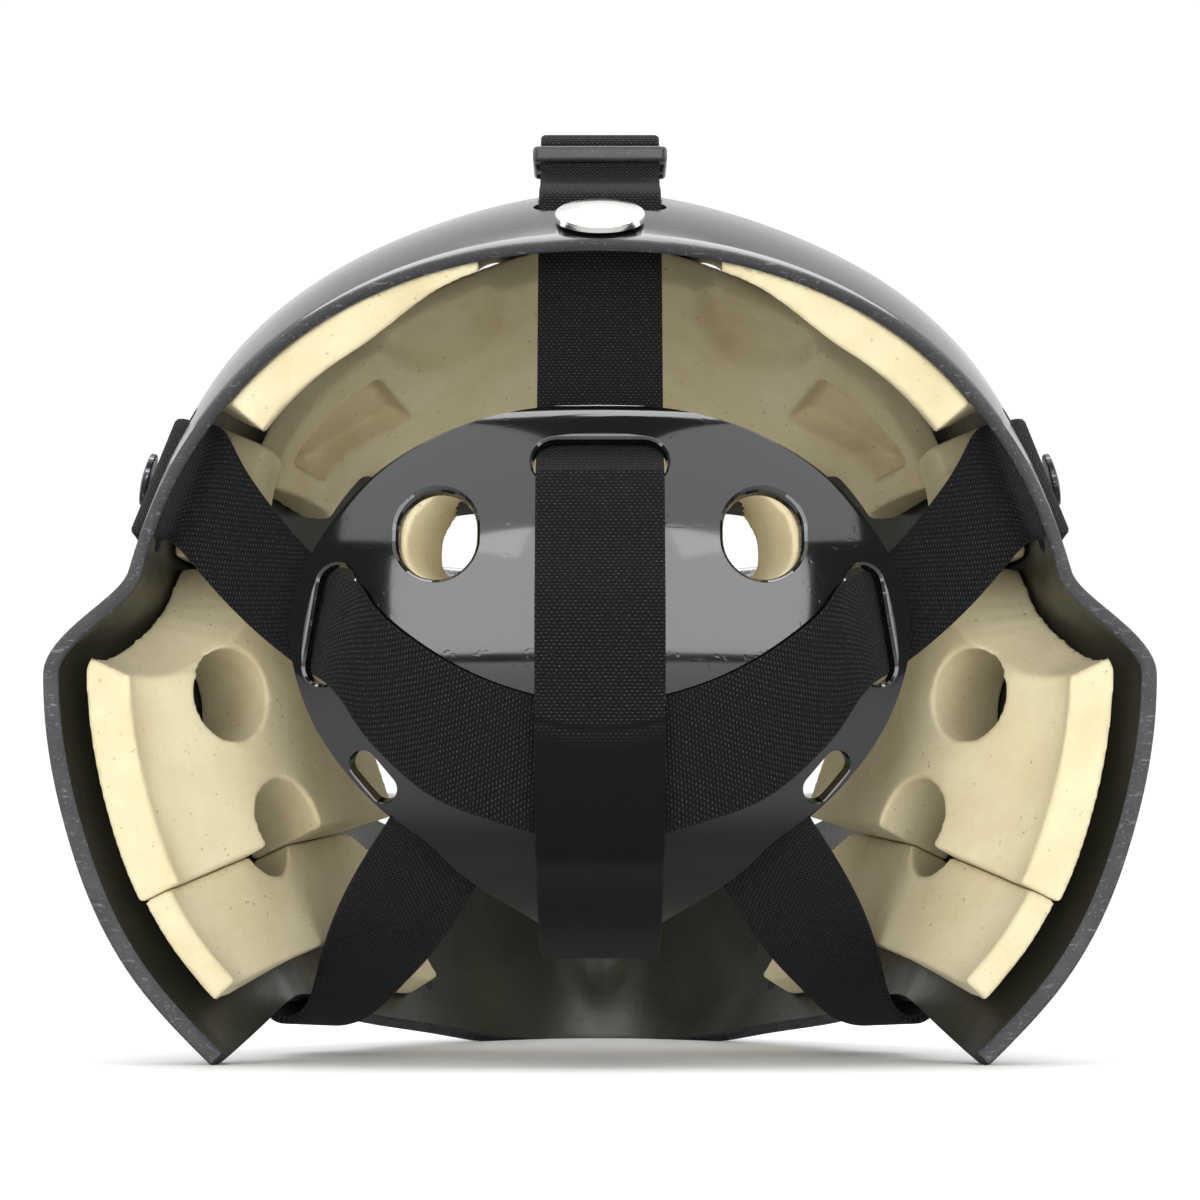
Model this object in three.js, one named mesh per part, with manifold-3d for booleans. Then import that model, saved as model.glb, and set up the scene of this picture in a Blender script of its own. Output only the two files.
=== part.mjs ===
// Ice hockey goalie helmet, standing on its jaw tips and chin.
// Millimetres. +Z is up, +Y is the way the face looks, and the floor is z = 0.
import * as THREE from 'three';
import { mergeVertices } from 'three/addons/utils/BufferGeometryUtils.js';
import Module from 'manifold-3d';

const wasm = await Module();
wasm.setup();

// Driving dimensions
const AXIS_Z = 105;            // height of the axis that the shell's sections turn round
const CENTRE_Y = 75;           // where on that axis the section distances start
const SHELL_THIN = 3.2;        // wall at the crown
const SHELL_THICK = 4.2;       // wall at the jaws
const FLARE_RISE = 18;         // how far the jaw stands out below the ear step, at the rear rim
const FLARE_TOP = 8.5;         // angle where the ear step starts
const FLARE_SPAN = 12;         // degrees that the ear step takes
const FLARE_REACH = 65;        // the flare has died out this far forward
const GAP = 0.3;               // between pieces that touch
const PAD_GAP = 0.75;          // between foam and the shell's inside, whose facets differ
const STRAP_WIDTH = 31.75;     // elastic, 1.25 in
const STRAP_WALL = 2;
const PLATE_WALL = 3;
const PLATE_BULGE = 0.0042;    // how fast the back plate curves forward to its sides, per mm
const WIRE_RADIUS = 2;         // cage wire

// Outer skin. Each row is a half-plane round the axis at an angle above the horizontal,
// and its profile is [y, radius] from the rear rim to the face.
const SKIN = [
  { angle: 90, profile: [[0, 100.5], [40, 120], [80, 127.5], [120, 124], [189, 80], [203, 45]] },
  { angle: 66, profile: [[0, 104], [40, 120.5], [80, 124.7], [120, 120.5], [185, 80], [200, 45]] },
  { angle: 40, profile: [[0, 111.3], [40, 123.5], [80, 127], [120, 118.5], [173, 80], [190, 45]] },
  { angle: 18, profile: [[0, 116.5], [40, 120.5], [80, 118.5], [120, 107], [156, 80], [178, 45]] },
  { angle: -2, profile: [[0, 120.5], [40, 116], [80, 107.5], [120, 96], [148, 80], [177, 45]] },
  { angle: -20, profile: [[0, 122.5], [40, 118], [80, 108], [120, 97], [158, 80], [196, 45]] },
  { angle: -35, profile: [[0, 124.5], [40, 120.5], [80, 112], [120, 102], [172, 80], [216, 45]] },
  { angle: -48, profile: [[0, 124], [40, 126.5], [80, 122.5], [120, 116], [196, 80], [231, 45]] },
  { angle: -66, profile: [[0, 128], [40, 131], [80, 131], [120, 128], [175, 114], [230, 80], [244, 45]] },
  { angle: -90, profile: [[0, 128], [40, 131], [80, 132], [120, 132], [190, 127], [247, 80], [244, 45]] },
];

// Shell edges, from the crown round to the chin. The rear edge is given by its angle along the
// rim (y = 0) and past the jaw tip by a point; the face opening by [x, z] as seen from the front.
const SHELL_ROWS = [
  { rim: 90, opening: [0, 160], steps: 4 },
  { rim: 66, opening: [30, 159], steps: 4 },
  { rim: 42, opening: [50, 155], steps: 3 },
  { rim: 24, opening: [68, 142], steps: 3 },
  { rim: 8, opening: [78, 127], steps: 4 },
  { rim: -4, opening: [83, 113], steps: 3 },
  { rim: -26, opening: [85, 98], steps: 3 },
  { rim: -47.9, opening: [84, 85], steps: 2 },
  { edge: [90, 40, 6], opening: [81, 76], steps: 2 },
  { edge: [82, 80, 14], opening: [75, 68.5], steps: 2 },
  { edge: [66, 135, 8], opening: [63, 62.5], steps: 3 },
  { edge: [46, 182, 0], opening: [44, 59], steps: 4 },
  { edge: [0, 224, 0], opening: [0, 57], steps: 0 },
];
const TIP_ROW = 7;
const SHELL_RINGS = 9;

// Back plate: its middle line from the top edge to the tongue under the nape.
const PLATE_ROWS = [
  { z: 162.7, y: 1, half: 9 },
  { z: 159.5, y: -2, half: 30 },
  { z: 150, y: -7.5, half: 51 },
  { z: 137, y: -13.5, half: 65 },
  { z: 121, y: -18, half: 75 },
  { z: 104, y: -19.5, half: 77.4 },
  { z: 84, y: -17, half: 71 },
  { z: 68, y: -11.5, half: 59 },
  { z: 60.5, y: -7, half: 50 },
  { z: 55, y: -1, half: 42 },
  { z: 50, y: 8, half: 37 },
  { z: 43.5, y: 21, half: 28 },
  { z: 37, y: 38, half: 17 },
  { z: 32.5, y: 58, half: 12 },
];

const COLOURS = {
  shell: { color: 0x0b0b0c, roughness: 0.16, metalness: 0 },
  foam: { color: 0xe8e0c0, roughness: 0.85, metalness: 0 },
  plate: { color: 0x101011, roughness: 0.2, metalness: 0 },
  strap: { color: 0x1b1b1d, roughness: 0.9, metalness: 0 },
  plastic: { color: 0x35353a, roughness: 0.45, metalness: 0 },
  steel: { color: 0xb9bcc0, roughness: 0.3, metalness: 1 },
};

const radians = THREE.MathUtils.degToRad;
const degrees = THREE.MathUtils.radToDeg;
const point = (x, y, z) => new THREE.Vector3(x, y, z);
const mirrored = (p) => point(-p.x, p.y, p.z);

function smooth(t) {
  const k = THREE.MathUtils.clamp(t, 0, 1);
  return k * k * (3 - 2 * k);
}

// Natural cubic spline through (xs, ys), given as a function of x.
function spline(xs, ys) {
  const last = xs.length - 1;
  const bend = new Array(last + 1).fill(0);
  const share = new Array(last + 1).fill(0);
  for (let i = 1; i < last; i++) {
    const left = xs[i] - xs[i - 1];
    const right = xs[i + 1] - xs[i];
    const pivot = 2 * (left + right) - left * share[i - 1];
    const kink = 6 * ((ys[i + 1] - ys[i]) / right - (ys[i] - ys[i - 1]) / left);
    share[i] = right / pivot;
    bend[i] = (kink - left * bend[i - 1]) / pivot;
  }
  for (let i = last - 1; i > 0; i--) bend[i] -= share[i] * bend[i + 1];
  return (x) => {
    const at = THREE.MathUtils.clamp(x, xs[0], xs[last]);
    let i = 0;
    while (i < last - 1 && at > xs[i + 1]) i++;
    const span = xs[i + 1] - xs[i];
    const a = (xs[i + 1] - at) / span;
    const b = (at - xs[i]) / span;
    const curve = ((a ** 3 - a) * bend[i] + (b ** 3 - b) * bend[i + 1]) * span ** 2 / 6;
    return a * ys[i] + b * ys[i + 1] + curve;
  };
}

// Spline through a table's rows by row number. A value that is mirrored at both ends of the
// table, such as a height on the centre line, has sign 1, and one that changes side has sign -1.
function rowSpline(values, sign) {
  const last = values.length - 1;
  const before = [3, 2, 1].map((i) => sign * values[i]);
  const after = [1, 2, 3].map((i) => sign * values[last - i]);
  const all = [...before, ...values, ...after];
  return spline(all.map((_, i) => i - 3), all);
}

// The skin's rows as splines of distance from the centre against the tilt away from +Y,
// with mirrored rows past the crown and the chin.
const skinRows = SKIN.map(({ angle, profile }) => {
  const polar = profile.map(([y, r]) => [degrees(Math.atan2(r, y - CENTRE_Y)), Math.hypot(r, y - CENTRE_Y)]);
  polar.sort((a, b) => a[0] - b[0]);
  return { angle, reach: spline(polar.map((p) => p[0]), polar.map((p) => p[1])) };
});
const ringRows = [
  ...[3, 2, 1].map((i) => ({ angle: 180 - skinRows[i].angle, reach: skinRows[i].reach })),
  ...skinRows,
  ...[2, 3, 4].map((i) => skinRows[skinRows.length - i])
    .map((row) => ({ angle: -180 - row.angle, reach: row.reach })),
].reverse();
const ringAngles = ringRows.map((row) => row.angle);

function reach(angle, tilt) {
  return spline(ringAngles, ringRows.map((row) => row.reach(tilt)))(angle);
}

function flare(angle, y) {
  return FLARE_RISE * smooth((FLARE_TOP - angle) / FLARE_SPAN) * (1 - smooth(y / FLARE_REACH));
}

// Point of the outer skin; share is how much of the jaw's flare it takes.
function skinPoint(angle, tilt, share = 1) {
  const distance = reach(angle, tilt);
  const y = CENTRE_Y + distance * Math.cos(radians(tilt));
  const radius = distance * Math.sin(radians(tilt)) + share * flare(angle, y);
  return point(radius * Math.cos(radians(angle)), y, AXIS_Z + radius * Math.sin(radians(angle)));
}

function skinNormal(angle, tilt, share = 1) {
  const step = 0.6;
  const around = skinPoint(angle + step, tilt, share).sub(skinPoint(angle - step, tilt, share));
  const along = skinPoint(angle, tilt + step, share).sub(skinPoint(angle, tilt - step, share));
  const normal = around.cross(along).normalize();
  const outward = skinPoint(angle, tilt, share).sub(point(0, CENTRE_Y, AXIS_Z));
  return normal.dot(outward) < 0 ? normal.negate() : normal;
}

// Point at a depth under the outer skin.
function underSkin(angle, tilt, depth, share = 1) {
  return skinPoint(angle, tilt, share).addScaledVector(skinNormal(angle, tilt, share), -depth);
}

function shellWall(angle) {
  return THREE.MathUtils.lerp(SHELL_THIN, SHELL_THICK, smooth((30 - angle) / 60));
}

// Tilt at which the skin passes a station y, for the side and crown walls.
function tiltAt(angle, y) {
  let tilt = 90;
  for (let i = 0; i < 24; i++) {
    tilt = degrees(Math.acos(THREE.MathUtils.clamp((y - CENTRE_Y) / reach(angle, tilt), -1, 1)));
  }
  return tilt;
}

// Tilt at which the skin passes a radius, on the face side.
function tiltAtRadius(angle, radius) {
  let tilt = 30;
  for (let i = 0; i < 24; i++) {
    tilt = degrees(Math.asin(Math.min(radius / reach(angle, tilt), 1)));
  }
  return tilt;
}

// Closed body through sections that are closed loops of equal length. An open run is capped
// as a strip: the second half of each loop runs back along the first.
function loft(sections, closed) {
  const count = sections[0].length;
  const positions = sections.flat().flatMap((p) => [p.x, p.y, p.z]);
  const index = [];
  const quad = (a, b, c, d) => index.push(a, b, c, a, c, d);
  const runs = closed ? sections.length : sections.length - 1;
  for (let i = 0; i < runs; i++) {
    const here = i * count;
    const next = ((i + 1) % sections.length) * count;
    for (let j = 0; j < count; j++) {
      const k = (j + 1) % count;
      quad(here + j, here + k, next + k, next + j);
    }
  }
  if (!closed) {
    const end = (sections.length - 1) * count;
    for (let j = 0; j < count / 2 - 1; j++) {
      const back = count - 1 - j;
      quad(j, back, back - 1, j + 1);
      quad(end + j, end + j + 1, end + back - 1, end + back);
    }
  }
  return facingOut(positions, index);
}

function facingOut(positions, index) {
  const corner = (i) => new THREE.Vector3().fromArray(positions, 3 * i);
  let volume = 0;
  for (let i = 0; i < index.length; i += 3) {
    volume += corner(index[i]).dot(corner(index[i + 1]).cross(corner(index[i + 2])));
  }
  const geometry = new THREE.BufferGeometry();
  geometry.setAttribute('position', new THREE.Float32BufferAttribute(positions, 3));
  geometry.setIndex(volume < 0 ? index.slice().reverse() : index);
  return geometry;
}

function solid(geometry) {
  const bare = geometry.clone();
  bare.deleteAttribute('normal');
  bare.deleteAttribute('uv');
  const merged = mergeVertices(bare, 1e-4);
  return new wasm.Manifold(new wasm.Mesh({
    numProp: 3,
    vertProperties: new Float32Array(merged.attributes.position.array),
    triVerts: new Uint32Array(merged.index.array),
  }));
}

function geometryOf(body) {
  const mesh = body.getMesh();
  const geometry = new THREE.BufferGeometry();
  geometry.setAttribute('position', new THREE.BufferAttribute(mesh.vertProperties, 3));
  geometry.setIndex(new THREE.BufferAttribute(mesh.triVerts, 1));
  return geometry;
}

function cut(geometry, cutters) {
  return geometryOf(cutters.reduce((body, cutter) => body.subtract(solid(cutter)), solid(geometry)));
}

// Long hole with round ends, length along its own x and sunk along its own z, set at a place
// with its depth along the given normal.
function slotCutter(length, width, depth, place, normal, along) {
  const radius = width / 2;
  const straight = Math.max(length / 2 - radius, 0.01);
  const shape = new THREE.Shape();
  shape.absarc(straight, 0, radius, -Math.PI / 2, Math.PI / 2);
  shape.absarc(-straight, 0, radius, Math.PI / 2, 3 * Math.PI / 2);
  const geometry = new THREE.ExtrudeGeometry(shape, { depth, bevelEnabled: false, curveSegments: 3 });
  geometry.translate(0, 0, -depth / 2);
  const z = normal.clone().normalize();
  const y = z.clone().cross(along).normalize();
  const x = y.clone().cross(z);
  geometry.applyMatrix4(new THREE.Matrix4().makeBasis(x, y, z).setPosition(place));
  return geometry;
}

// Mirror image of a shape across x = 0.
function mirrorImage(geometry) {
  const image = geometry.clone().scale(-1, 1, 1);
  if (image.index === null) image.setIndex([...Array(image.attributes.position.count).keys()]);
  image.setIndex([...image.index.array].reverse());
  return image;
}

function withMirror(geometry) {
  return [geometry, mirrorImage(geometry)];
}

// Shell
const mapOf = (angle, tilt) => [tilt * Math.cos(radians(angle)), tilt * Math.sin(radians(angle))];
const openingX = rowSpline(SHELL_ROWS.map((row) => row.opening[0]), -1);
const openingZ = rowSpline(SHELL_ROWS.map((row) => row.opening[1]), 1);
const edgeMaps = SHELL_ROWS.slice(TIP_ROW).map(({ rim, edge }) => {
  if (edge === undefined) return mapOf(rim, tiltAt(rim, 0));
  const radius = Math.hypot(edge[0], edge[2] - AXIS_Z);
  return mapOf(degrees(Math.atan2(edge[2] - AXIS_Z, edge[0])), degrees(Math.atan2(radius, edge[1] - CENTRE_Y)));
});
const edgeSplines = [0, 1].map((part) => {
  const values = edgeMaps.map((m) => m[part]);
  const last = values.length - 1;
  const after = [1, 2].map((i) => (part === 0 ? -1 : 1) * values[last - i]);
  const all = [...values, ...after];
  return spline(all.map((_, i) => TIP_ROW + i), all);
});

function rearEdgeMap(row) {
  if (row >= TIP_ROW) return edgeSplines.map((curve) => curve(row));
  const i = Math.floor(row);
  const angle = THREE.MathUtils.lerp(SHELL_ROWS[i].rim, SHELL_ROWS[i + 1].rim, row - i);
  return mapOf(angle, tiltAt(angle, 0));
}

function openingMap(row) {
  const x = openingX(row);
  const rise = openingZ(row) - AXIS_Z;
  const angle = degrees(Math.atan2(rise, x));
  return mapOf(angle, tiltAtRadius(angle, Math.hypot(x, rise)));
}

function shellSection(row) {
  const rear = rearEdgeMap(row);
  const front = openingMap(row);
  const outer = [];
  const inner = [];
  for (let ring = 0; ring <= SHELL_RINGS; ring++) {
    const s = ring / SHELL_RINGS;
    const u = THREE.MathUtils.lerp(front[0], rear[0], s);
    const v = THREE.MathUtils.lerp(front[1], rear[1], s);
    const angle = degrees(Math.atan2(v, u));
    const tilt = Math.hypot(u, v);
    outer.push(skinPoint(angle, tilt));
    inner.push(underSkin(angle, tilt, shellWall(angle)));
  }
  const onFloor = (p) => point(p.x, Math.max(p.y, 0), Math.max(p.z, 0));
  return [...outer, ...inner.reverse()].map(onFloor);
}

function shellSections() {
  const rows = [];
  SHELL_ROWS.forEach(({ steps }, i) => {
    for (let step = 0; step < steps; step++) rows.push(i + step / steps);
  });
  const right = [...rows, SHELL_ROWS.length - 1].map(shellSection);
  const left = right.slice(1, -1).reverse().map((section) => section.map(mirrored));
  return [...right, ...left];
}

const CROWN_SLOT = { angle: 90, y: 28, length: STRAP_WIDTH + 3, width: 14 };
const SIDE_SLOT = { angle: 21.5, y: 22.5, length: 38.5, width: 16 };
const CROWN_VENT = { angle: 74.5, y: 130, length: 30, width: 8 };
const TEMPLE_VENT = { angle: 38, y: 130, length: 24, width: 8 };
const CHIN_HOLE = { angle: -58.5, y: 180, length: 5.4, width: 5.4 };

// Cutter for a hole in the shell, its length running across the section or along it.
function shellHole({ angle, y, length, width }, lengthways = false) {
  const tilt = tiltAt(angle, y);
  const normal = skinNormal(angle, tilt);
  const across = skinPoint(angle + 1, tilt).sub(skinPoint(angle - 1, tilt));
  const along = lengthways ? normal.clone().cross(across) : across;
  return slotCutter(length, width, 24, skinPoint(angle, tilt), normal, along);
}

function shellGeometry() {
  return cut(loft(shellSections(), true), [
    shellHole(CROWN_SLOT),
    ...withMirror(shellHole(SIDE_SLOT)),
    ...withMirror(shellHole(CROWN_VENT, true)),
    ...withMirror(shellHole(TEMPLE_VENT, true)),
    ...withMirror(shellHole(CHIN_HOLE)),
  ]);
}

// Pads: a patch of skin between two edges round the shell and two stations, with its own thickness.
function padGeometry({ edges, stations, steps, rows, share, thickness }) {
  const sections = [];
  for (let i = 0; i <= steps; i++) {
    const outer = [];
    const inner = [];
    for (let j = 0; j <= rows; j++) {
      const t = j / rows;
      const [upper, lower] = edges(t);
      const angle = THREE.MathUtils.lerp(upper, lower, i / steps);
      const tilt = tiltAt(angle, THREE.MathUtils.lerp(stations[0], stations[1], t));
      const depth = shellWall(angle) + PAD_GAP;
      outer.push(underSkin(angle, tilt, depth, share));
      inner.push(underSkin(angle, tilt, depth + thickness(angle, t), share));
    }
    sections.push([...outer, ...inner.reverse()]);
  }
  return loft(sections, false);
}

const domed = (t, edge) => 1 - (1 - edge) * Math.abs(2 * t - 1) ** 3;
const CROWN_PAD = {
  edges: () => [72.5, 33],
  stations: [2.5, 62],
  steps: 7,
  rows: 4,
  share: 1,
  thickness: (angle, t) => THREE.MathUtils.lerp(4, 14, smooth((73 - angle) / 22)) * domed(t, 0.75),
};
const TEMPLE_PAD = {
  edges: () => [26.5, 10],
  stations: [46, 118],
  steps: 4,
  rows: 5,
  share: 1,
  thickness: (angle, t) => 16 * domed(t, 0.6),
};
const CHEEK_PAD = {
  edges: () => [-1, -29],
  stations: [3, 128],
  steps: 6,
  rows: 7,
  share: 0.68,
  thickness: (angle, t) => 11 + 17 * smooth(t * 2.2) * (1 - 0.5 * smooth(t * 2 - 1)),
};
const JAW_PAD = {
  edges: (t) => [-30 - 9 * smooth(3 * t - 2), -43 - 14.5 * smooth((t - 0.66) * 3)],
  stations: [4, 168],
  steps: 4,
  rows: 9,
  share: 0.62,
  thickness: (angle, t) => 7 + 7 * smooth(t * 4) - 5 * smooth(2 * t - 1),
};

// Forehead pad: a patch between tilts, so that it can turn down the brow.
const FOREHEAD = { swing: 59, steps: 12, rows: 5, browGap: 5, backY: 112, thickness: 15 };

function foreheadSection(swing) {
  const angle = 90 - swing;
  const brow = tiltAtRadius(angle, 58 / Math.max(Math.sin(radians(angle)), 0.62)) + FOREHEAD.browGap;
  const back = tiltAt(angle, FOREHEAD.backY);
  const outer = [];
  const inner = [];
  for (let j = 0; j <= FOREHEAD.rows; j++) {
    const t = j / FOREHEAD.rows;
    const tilt = THREE.MathUtils.lerp(brow, back, t);
    const depth = shellWall(angle) + PAD_GAP + 0.6;
    outer.push(underSkin(angle, tilt, depth));
    inner.push(underSkin(angle, tilt, depth + FOREHEAD.thickness * domed(t, 0.6)));
  }
  return [...outer, ...inner.reverse()];
}

function foreheadGeometry() {
  const right = [];
  for (let i = 0; i <= FOREHEAD.steps / 2; i++) right.push(foreheadSection(2 * FOREHEAD.swing * i / FOREHEAD.steps));
  const left = right.slice(1).reverse().map((section) => section.map(mirrored));
  return loft([...left, ...right], false);
}

// Back plate
const plateLine = ['z', 'y', 'half'].map((key) => spline(PLATE_ROWS.map((_, i) => i), PLATE_ROWS.map((r) => r[key])));

function platePoint(row, x) {
  const [z, y] = plateLine.map((curve) => curve(row));
  return point(x, y + PLATE_BULGE * x * x, z);
}

function plateRowAt(z) {
  let low = 0;
  let high = PLATE_ROWS.length - 1;
  for (let i = 0; i < 30; i++) {
    const middle = (low + high) / 2;
    if (plateLine[0](middle) > z) low = middle;
    else high = middle;
  }
  return low;
}

// The plate's outward normal, behind or under the head.
function plateNormal(row, x) {
  const step = 0.05;
  const down = platePoint(row + step, x).sub(platePoint(row - step, x));
  const across = platePoint(row, x + 1).sub(platePoint(row, x - 1));
  return down.cross(across).normalize();
}

// Point off the plate's middle surface; a positive height is on the outside.
function offPlate(row, x, height) {
  return platePoint(row, x).addScaledVector(plateNormal(row, x), height);
}

function plateSlab(lowRow, highRow, steps, columns, inset, near, far) {
  const sections = [];
  for (let i = 0; i <= steps; i++) {
    const row = THREE.MathUtils.lerp(lowRow, highRow, i / steps);
    const half = plateLine[2](row) - inset;
    const outer = [];
    const inner = [];
    for (let j = 0; j <= columns; j++) {
      const x = half * (2 * j / columns - 1);
      outer.push(offPlate(row, x, near));
      inner.push(offPlate(row, x, far));
    }
    sections.push([...outer, ...inner.reverse()]);
  }
  return loft(sections, false);
}

const LOOKOUT = { x: 40, z: 130, length: 22.4, width: 19.7, along: point(0, 0, 1) };
const LOWER_HOLE = { x: 62.2, z: 71.1, length: 15.5, width: 8, along: point(0.65, 0, 0.76) };
const PLATE_SLOT = { x: 65.8, z: 108.5, length: 34, width: 11, along: point(-0.166, 0, 0.986) };
const TOP_SLOT = { x: 0, z: 148, length: STRAP_WIDTH + 3, width: 12, along: point(1, 0, 0) };

function plateHole({ x, z, length, width, along }) {
  return slotCutter(length, width, 34, platePoint(plateRowAt(z), x), point(0, 1, 0), along);
}

function plateGeometry() {
  return cut(plateSlab(0, PLATE_ROWS.length - 1, 20, 10, 0, PLATE_WALL / 2, -PLATE_WALL / 2), [
    ...withMirror(plateHole(LOOKOUT)),
    ...withMirror(plateHole(LOWER_HOLE)),
    ...withMirror(plateHole(PLATE_SLOT)),
    plateHole(TOP_SLOT),
  ]);
}

// Its foam lining stops short of the straps' slots.
const LINING = { top: 139, bottom: 74, inset: 21, wall: 8, gap: 0.5 };

function liningGeometry() {
  const near = -PLATE_WALL / 2 - LINING.gap;
  const slab = plateSlab(plateRowAt(LINING.top), plateRowAt(LINING.bottom), 12, 8, LINING.inset, near, near - LINING.wall);
  return cut(slab, withMirror(plateHole({ ...LOOKOUT, width: LOOKOUT.width + 1 })));
}

// Straps: a flat section carried along a route of stops, each with half its width as a vector.
// Where drape is given, the strap follows the plate across its width too.
function strapGeometry(route, steps, columns = 1, drape = () => 0) {
  const curveOf = (key, k) => spline(route.map((_, i) => i), route.map((stop) => stop[key][k]));
  const parts = [0, 1, 2].map((k) => curveOf('at', k));
  const turns = [0, 1, 2].map((k) => curveOf('wide', k));
  const last = route.length - 1;
  const where = (t) => point(...parts.map((curve) => curve(t)));
  const sections = [];
  for (let i = 0; i <= steps; i++) {
    const t = last * i / steps;
    const run = where(Math.min(t + 0.05, last)).sub(where(Math.max(t - 0.05, 0))).normalize();
    const wide = point(...turns.map((curve) => curve(t))).multiplyScalar(STRAP_WIDTH / 2);
    const up = run.clone().cross(wide).normalize();
    const across = Array.from({ length: columns + 1 }, (_, k) => {
      const p = where(t).addScaledVector(wide, 2 * k / columns - 1);
      const row = plateRowAt(p.z);
      const normal = up.clone().negate().lerp(plateNormal(row, p.x), drape(t)).normalize();
      return { at: p.lerp(offPlate(row, p.x, ON_PLATE + 0.45), drape(t)), normal };
    });
    const face = (height) => across.map(({ at, normal }) => at.clone().addScaledVector(normal, height));
    sections.push([...face(STRAP_WALL / 2), ...face(-STRAP_WALL / 2).reverse()]);
  }
  return loft(sections, false);
}

const ON_PLATE = PLATE_WALL / 2 + GAP + STRAP_WALL / 2;
const ON_SHELL = GAP + STRAP_WALL / 2 + 0.4;
const OVER_SIDE_STRAP = 3;
const ACROSS = [1, 0, 0];

function centreRoute() {
  const crown = (pairs) => pairs.map(([y, height]) => underSkin(90, tiltAt(90, y), -height));
  const middle = (pairs) => pairs.map(([y, z]) => point(0, y, z));
  const plate = (rows) => rows.map((row) => {
    const crossing = smooth((row - 3.6) / 1.2) * (1 - smooth((row - 8.6) / 2.4));
    return offPlate(row, 0, ON_PLATE + 0.3 + OVER_SIDE_STRAP * crossing);
  });
  return [
    ...crown([[102, ON_SHELL], [90, ON_SHELL], [80, ON_SHELL + 0.2]]),
    ...middle([[73.4, 236.4], [72, 240.5], [69, 244.5], [65, 245.8], [60.4, 242.8], [58.6, 237.8]]),
    ...crown([[53, ON_SHELL + 0.6], [44, ON_SHELL], [36, ON_SHELL], [31.5, 0.6], [27.5, -3.2]]),
    ...middle([[23.6, 209.5], [19, 198], [13.4, 182], [8, 167], [2.5, 156.5], [-5, 149.5], [-12, 145]]),
    ...plate([2.55, 3, 3.5, 4, 4.5, 5, 5.5, 6, 6.5, 7, 7.5, 8, 8.5, 9, 10, 11, 12, 13]),
    point(0, 76, 26.6),
  ].map((p) => ({ at: p.toArray(), wide: ACROSS }));
}

// The side strap comes through the shell, passes inside the plate's edge, comes out of the
// plate's slot and curves down over the plate to the middle.
function sideRoute() {
  const skin = (y, depth) => underSkin(SIDE_SLOT.angle, tiltAt(SIDE_SLOT.angle, y), depth).toArray();
  const onPlate = (x, z, height) => offPlate(plateRowAt(z), x, height).toArray();
  const round = [-Math.sin(radians(SIDE_SLOT.angle)), 0, Math.cos(radians(SIDE_SLOT.angle))];
  const slot = PLATE_SLOT.along.clone().multiplyScalar(0.86).toArray();
  return [
    { at: skin(54, -ON_SHELL - 0.9), wide: round },
    { at: skin(42, -ON_SHELL - 0.6), wide: round },
    { at: skin(32, -ON_SHELL - 0.4), wide: round },
    { at: skin(25.5, 0.5), wide: round },
    { at: skin(19, 5), wide: round },
    { at: skin(11, 10), wide: round },
    { at: [93.5, 10, 134], wide: [-0.25, 0, 0.95] },
    { at: [84, 13.2, 122.8], wide: [-0.18, 0, 0.92] },
    { at: [76.5, 12.6, 115.4], wide: [-0.15, 0, 0.87] },
    { at: [71, 7.6, 111], wide: slot },
    { at: [65.3, -1.9, 107.3], wide: slot },
    { at: [59.8, -7.9, 102], wide: [-0.1, 0, 0.95] },
    { at: onPlate(51.5, 94.4, ON_PLATE + 0.5), wide: [-0.06, 0, 0.98] },
    { at: onPlate(39.3, 84.6, ON_PLATE + 0.3), wide: [-0.1, 0, 1] },
    { at: onPlate(27, 79, ON_PLATE + 0.3), wide: [-0.1, 0, 0.97] },
    { at: onPlate(16, 75.8, ON_PLATE + 0.3), wide: [-0.05, 0, 0.97] },
    { at: onPlate(10, 74.6, ON_PLATE + 0.3), wide: [-0.05, 0, 0.97] },
  ];
}

// The lower strap comes from inside the plate's lower edge, goes forward and down to the jaw,
// and is hooked round the shell's bottom edge.
function lowerRoute() {
  const skin = (angle, y) => underSkin(angle, tiltAt(angle, y), -ON_SHELL - 1.5).toArray();
  return [
    { at: [34, 0.6, 72], wide: [0.97, 0.22, -0.1] },
    { at: [36.5, 5, 63.5], wide: [0.97, 0.2, -0.05] },
    { at: [40.5, 15, 56], wide: [0.94, 0.1, 0.1] },
    { at: [48, 31, 44.5], wide: [0.9, -0.1, 0.22] },
    { at: [56, 49, 32.5], wide: [0.8, -0.38, 0.28] },
    { at: [63.3, 67, 21.8], wide: [0.64, -0.7, 0.2] },
    { at: [69, 82.5, 13.4], wide: [0.5, -0.84, 0.1] },
    { at: [76.2, 91.5, 8.8], wide: [0.38, -0.92, 0.05] },
    { at: [84.2, 92, 11.4], wide: [0.3, -0.95, 0.02] },
    { at: skin(-43.5, 91), wide: [0.28, -0.96, 0] },
    { at: skin(-38.5, 89.5), wide: [0.28, -0.96, 0] },
    { at: skin(-32.5, 88), wide: [0.28, -0.96, 0] },
  ];
}

// Slider: a flat frame with two slots round its middle bar.
const SLIDER = { x: 17.9, back: 53, front: 78.4, bottom: 237.2, top: 241.4, slotLength: 33.4, slotWidth: 6 };

function sliderGeometry() {
  const middle = (SLIDER.back + SLIDER.front) / 2;
  const frame = new THREE.BoxGeometry(2 * SLIDER.x, SLIDER.front - SLIDER.back, SLIDER.top - SLIDER.bottom);
  frame.translate(0, middle, (SLIDER.bottom + SLIDER.top) / 2);
  const slots = [-1, 1].map((end) => slotCutter(SLIDER.slotLength, SLIDER.slotWidth, 20,
    point(0, middle + end * 6.6, SLIDER.bottom), point(0, 0, 1), point(1, 0, 0)));
  return cut(frame, slots);
}

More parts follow.
